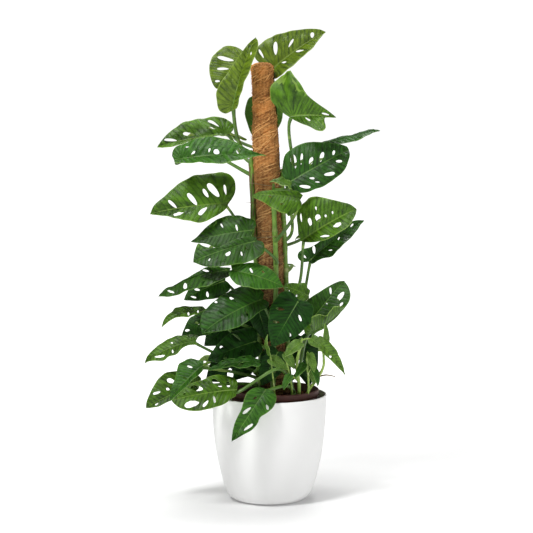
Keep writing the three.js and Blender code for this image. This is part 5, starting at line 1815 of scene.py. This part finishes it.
    LeafForm("right_mid_lower", (75, 12, 455), (180, 10, 535), (-0.1, -0.8, 0.6), 66, LeafTone.DARK, "right",
        345, 28, 0.05, left=((-8, 6), (-10, 18), (-3, 26), (7, 27), (22, 19), (42, 15), (63, 12), (86, 12),
        (106, 11), (121, 7)), right=((4, 11), (16, 16), (31, 25), (45, 33), (60, 32), (77, 30), (93, 22), (108,
        15), (121, 7)), ovals=((0.9, 14.4, 6.4, 1.9, 96), (23, 10.3, 7.8, 2.8, 58), (107.5, 3.6, 3.8, 1.5, 17),
        (73.4, -5.2, 4.2, 2.4, -126), (47.8, -18.8, 4.2, 1.7, -47))),
    LeafForm("right_upper_dark", (32, -35, 605), (149, -30, 670), (-0.2, -0.96, 0.16), 88, LeafTone.DARK,
        "right", 498, 12, 0.05, left=((2, 17), (12, 36), (24, 49), (37, 53), (53, 54), (67, 53), (80, 46), (96,
        36), (113, 24), (128, 13), (134, 6)), right=((-5, 8), (-1, 17), (13, 28), (28, 35), (44, 38), (57, 41),
        (70, 40), (85, 38), (98, 36), (110, 31), (120, 22), (130, 11)), ovals=((33.3, 29.7, 13.5, 5.2, 72), (48,
        26.7, 10.7, 2.3, 57), (60.8, 13.5, 8.5, 3.4, 47), (82.1, 11.1, 9.4, 3.4, 44), (105.5, 7.4, 4.5, 2.4,
        47), (28.2, -23.3, 10.7, 3, -38), (47, -16.2, 4.9, 2.1, -38), (79, -25.2, 10, 3.5, -22), (106.4, -12.1,
        5.9, 2.8, -31), (52.4, -28.1, 4.1, 1.3, -32))),
    LeafForm("right_edge_on", (89, 16, 671), (209, 0, 706), (-0.25, -0.38, 0.89), 74, LeafTone.DARK, "back",
        615, 8, 0.03, left=((3, 13), (13, 16), (29, 13), (45, 8), (55, 11), (72, 4), (90, 6), (109, 6)),
        right=((8, 17), (26, 29), (40, 28), (54, 23), (67, 25), (81, 28), (93, 28), (109, 11)), ovals=()),
    LeafForm("pole_front", (57, -68, 577), (-32, -99, 587), (0.05, -0.78, 0.62), 66, LeafTone.MIDDLE, "front",
        498, 8, 0.1, left=((0, 14), (13, 31), (31, 42), (48, 39), (62, 28), (77, 18), (87, 9)), right=((-8, 13),
        (0, 18), (21, 13), (44, 10), (65, 9), (82, 7)), ovals=((42.3, 20.9, 5, 1.9, 42), (63.1, 6.3, 3.4, 1.7,
        138))),
    LeafForm("curl_small", (39, -60, 601), (1, -74, 611), (0, -0.5, 0.85), 30, LeafTone.FRESH, "front", 593, 25,
        0.1),
    LeafForm("fill_mid", (-23, -28, 377), (-2, -32, 305), (0, -0.985, 0.17), 42, LeafTone.SHADED, "left", 391,
        8, 0.04),
    LeafForm("fill_left", (-39, 20, 359), (-125, 14, 293), (-0.1, -0.94, 0.3), 80, LeafTone.SHADED, "left", 383,
        8, 0.06),
    LeafForm("fill_low", (-39, 26, 277), (-122, 18, 224), (-0.1, -0.86, 0.48), 80, LeafTone.SHADED, "left", 283,
        8, 0.06, holes=(1, 0)),
    LeafForm("fill_right", (61, 14, 312), (77, 10, 214), (0.1, -0.95, 0.2), 58, LeafTone.SHADED, "right", 287,
        8, 0.06, holes=(0, 1)),
    LeafForm("right_small", (74, -34, 394), (26, -42, 414), (0, -0.85, 0.5), 28, LeafTone.MIDDLE, "right", 371,
        15, 0.1, left=((9, 16), (20, 22), (36, 22), (46, 11)), right=((1, 13), (11, 19), (22, 18), (37, 11),
        (47, 6)), ovals=((41.7, 7.5, 3.1, 2.1, 21), (25.6, 9.9, 4.3, 2.8, 138))),
    LeafForm("back_crown", (-8, 74, 764), (-14, 96, 668), (0, 0.9, 0.45), 76, LeafTone.DARK, "back", 700, 12),
    LeafForm("back_left_top", (-62, 62, 690), (-165, 132, 684), (-0.1, 0.35, 0.93), 78, LeafTone.CROWN, "back",
        655, 12, 0.1, holes=(2, 1)),
    LeafForm("back_right_top", (48, 56, 608), (128, 128, 640), (0.1, 0.6, 0.8), 84, LeafTone.MIDDLE, "back",
        570, 14, 0.06, holes=(2, 2)),
    LeafForm("back_right_mid", (66, 62, 502), (146, 124, 528), (0.2, 0.6, 0.78), 80, LeafTone.MIDDLE, "back",
        470, 14, 0.06, holes=(2, 1)),
    LeafForm("back_left_mid", (-44, 62, 478), (-122, 136, 452), (-0.3, 0.6, 0.75), 84, LeafTone.MIDDLE, "back",
        440, 12, holes=(2, 1)),
    LeafForm("back_centre", (6, 72, 440), (14, 178, 400), (0.05, 0.55, 0.83), 88, LeafTone.MIDDLE, "back", 400,
        12, 0.1, holes=(2, 2)),
    LeafForm("back_right_low", (66, 60, 372), (140, 138, 352), (0.3, 0.5, 0.8), 80, LeafTone.MIDDLE, "back",
        345, 12, holes=(2, 1)),
    LeafForm("back_left_low", (-58, 60, 352), (-148, 126, 318), (-0.3, 0.5, 0.8), 84, LeafTone.MIDDLE, "back",
        330, 12, holes=(2, 1)),
    LeafForm("back_low", (0, 82, 316), (-18, 186, 270), (-0.1, 0.6, 0.8), 84, LeafTone.MIDDLE, "back", 275, 12,
        holes=(2, 1)),
    LeafForm("back_side_right", (62, 70, 286), (138, 132, 248), (0.3, 0.55, 0.78), 72, LeafTone.MIDDLE, "back",
        250, 14, 0.1, holes=(2, 2)),
    LeafForm("back_side_left", (-66, 70, 262), (-150, 108, 222), (-0.25, 0.5, 0.82), 76, LeafTone.MIDDLE,
        "back", 240, 14, 0.1, holes=(2, 2)),
)

SHOOTS = (
    ShootForm(
        "shoot_front", ((56, -46, 183), (56, -60, 229), (52, -78, 272), (57, -93, 304), (61, -99, 323)),
        (
            LeafForm("shoot_front_0", (58, -106, 315), (29, -116, 291), (-0.15, -0.72, 0.68), 27, share=0.86),
            LeafForm("shoot_front_1", (77, -106, 324), (96, -110, 307), (-0.1, -0.9, 0.4), 22, share=0.97),
            LeafForm("shoot_front_2", (1, -74, 280), (35, -82, 262), (0, -0.8, 0.6), 24, share=0.36),
        ),
    ),
    ShootForm(
        "shoot_right", ((64, -28, 182), (69, -33, 200), (76, -38, 218), (91, -48, 240), (102, -58, 265), (101,
            -68, 293)),
        (
            LeafForm("shoot_right_0", (91, -84, 318), (140, -92, 254), (0.35, -0.85, 0.4), 26, holes=(0, 1),
                share=0.95),
            LeafForm("shoot_right_1", (104, -78, 305), (105, -84, 349), (0.4, -0.85, 0.3), 15, share=0.8),
            LeafForm("shoot_right_2", (78, -62, 277), (84, -66, 228), (0.2, -0.9, 0.4), 20, share=0.5),
        ),
    ),
    ShootForm(
        "undergrowth_near", ((40, -45, 183), (43, -58, 215), (38, -70, 250), (30, -77, 285), (28.5, -82, 296)),
        (
            LeafForm("undergrowth_near_0", (30, -88, 292), (47, -99, 266), (0.1, -0.85, 0.5), 20, share=0.97),
            LeafForm("undergrowth_near_1", (40, -80, 251), (26, -94, 226), (-0.3, -0.85, 0.45), 18,
                LeafTone.BLUISH, share=0.5),
        ), radius=2.1, packed=False,
    ),
    ShootForm(
        "undergrowth_right", ((70, -42, 183), (73.5, -55, 215), (73, -70, 250), (70, -80, 280), (71.5, -87,
            297)),
        (
            LeafForm("undergrowth_right_0", (74.5, -92, 293), (84, -99, 259), (0.2, -0.9, 0.35), 17,
                share=0.97),
            LeafForm("undergrowth_right_1", (66, -87, 272), (50, -99, 246), (-0.4, -0.8, 0.4), 18,
                LeafTone.BLUISH, share=0.62),
            LeafForm("undergrowth_right_2", (81, -80, 266), (91, -88, 231), (0.5, -0.8, 0.3), 16,
                LeafTone.BLUISH, share=0.62),
        ), radius=2.2, packed=False,
    ),
    ShootForm(
        "undergrowth_left", ((12, -50, 183), (10, -62, 220), (6, -72, 255), (3, -80, 285)),
        (
            LeafForm("undergrowth_left_0", (1, -83, 290), (-3, -92, 329), (-0.7, -0.7, 0.2), 12, share=0.97),
        ), radius=1.7, packed=False,
    ),
)


# ---------------------------------------------------------------- studio


@dataclass
class Studio:
    """Plain white floor, soft light from all round and the camera."""

    camera_place: Point = (-0.0051, -3.2, 0.745)
    camera_tilt: float = 84.68
    lens: float = 114.15
    aim: Point = (0.0, 0.0, 0.5)

    def build(self) -> None:
        """Sets up floor, sky, lights and camera."""
        self.floor()
        self.sky()
        self.lamp("Key", (-1.0, -1.3, 2.4), 0.5, 45.0)
        self.lamp("Fill", (1.9, -1.8, 1.3), 1.4, 9.0)
        self.lamp("Top", (0.25, 0.6, 2.3), 0.8, 26.0)
        Bench.clear()
        bpy.ops.object.camera_add(location=self.camera_place, rotation=(math.radians(self.camera_tilt), 0.0, 0.0))
        camera = bpy.context.object
        camera.name = "Camera"
        camera.data.lens = self.lens
        camera.data.sensor_width = 36.0
        camera.data.clip_start = 0.05
        camera.data.dof.use_dof = False
        bpy.context.scene.camera = camera
        bpy.context.scene.view_settings.view_transform = "Standard"

    def floor(self) -> None:
        """Lays a wide white floor that glows faintly, so that its far edge meets the sky; a little way from the
        pot the glow paints light over the lamps' longer shadows.
        """
        floor = Bench.add("floor", bpy.ops.mesh.primitive_plane_add, size=60.0)
        material, wire, shader = new_material("White floor")
        away = wire.add("VectorMath", {0: wire.place()}, operation="LENGTH").outputs["Value"]
        # The floor is no lamp but glows: weakly right round the pot, where the contact shadow shows, then more
        # from 0.08 to 0.34 metres out, painted light that washes out the lamps' longer shadows, and fully far
        # off.
        near, far = wire.remap(away, 0.08, 0.34, 0.08, 0.35), wire.remap(away, 0.35, 2.2, 0.0, 0.65)
        looks = {
            "Emission Strength": wire.weigh((near, 1.0), (far, 1.0)),
            "Emission Color": (1.0, 1.0, 1.0, 1.0),
            "Base Color": (0.86, 0.86, 0.86, 1.0),
            "Roughness": 0.9,
            "Specular IOR Level": 0.0,
        }
        wire.fill(shader, looks)
        floor.data.materials.append(material)

    def sky(self) -> None:
        """Surrounds the scene with white, brighter to the camera than as light."""
        world = bpy.data.worlds.new("Studio")
        world.use_nodes = True
        wire = Wiring(world.node_tree)
        seen = wire.add("LightPath").outputs["Is Camera Ray"]
        strength = wire.add("MapRange", {0: seen, 1: 0.0, 2: 1.0, 3: 0.21, 4: 1.05}).outputs[0]
        looks = {"Color": (1.0, 1.0, 1.0, 1.0), "Strength": strength}
        wire.fill(world.node_tree.nodes["Background"], looks)
        bpy.context.scene.world = world

    def lamp(self, name: str, place: Point, size: float, power: float) -> None:
        """Hangs a square soft box that looks at the plant's middle.

        Args:
            name: The light's name.
            place: Where it hangs.
            size: Its side.
            power: Its watts.
        """
        Bench.clear()
        x, y, z = (float(part) for part in unit(np.array(place) - np.array(self.aim)))
        rotation = (math.acos(z), 0.0, math.atan2(y, x) + math.pi / 2)
        bpy.ops.object.light_add(type="AREA", location=place, rotation=rotation)
        lamp = bpy.context.object
        lamp.name = name
        lamp.data.shape = "SQUARE"
        lamp.data.size = size
        lamp.data.energy = power


# ---------------------------------------------------------------- assembly


def report(pieces: Piece | Iterable[Piece]) -> None:
    """Logs the name and the faces of each piece."""
    for piece in [pieces] if isinstance(pieces, Piece) else pieces:
        LOG.info("%s: %d faces", piece.name, len(piece.data.polygons))


def main() -> None:
    """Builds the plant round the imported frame, piece by piece."""
    logging.basicConfig(level=logging.INFO, format="%(name)s %(message)s")
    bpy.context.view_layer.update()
    LOG.info("%d packed nodes", len(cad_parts))
    report(Planter().build())
    nursery = NurseryPot()
    report(nursery.build())
    report(Earth(nursery).build())
    pole = Pole()
    report(pole.build())
    vines = {climb.name: Vine(climb, pole) for climb in CLIMBS}
    for vine in vines.values():
        report(vine.build())
    foliage = Foliage(vines)
    for index, form in enumerate(LEAVES):
        report(foliage.grown(form, index))
    for index, form in enumerate(SHOOTS):
        report(foliage.shoot(form, index))
    report(Sundries(vines, pole).build())
    Studio().build()


if __name__ == "__main__":
    main()
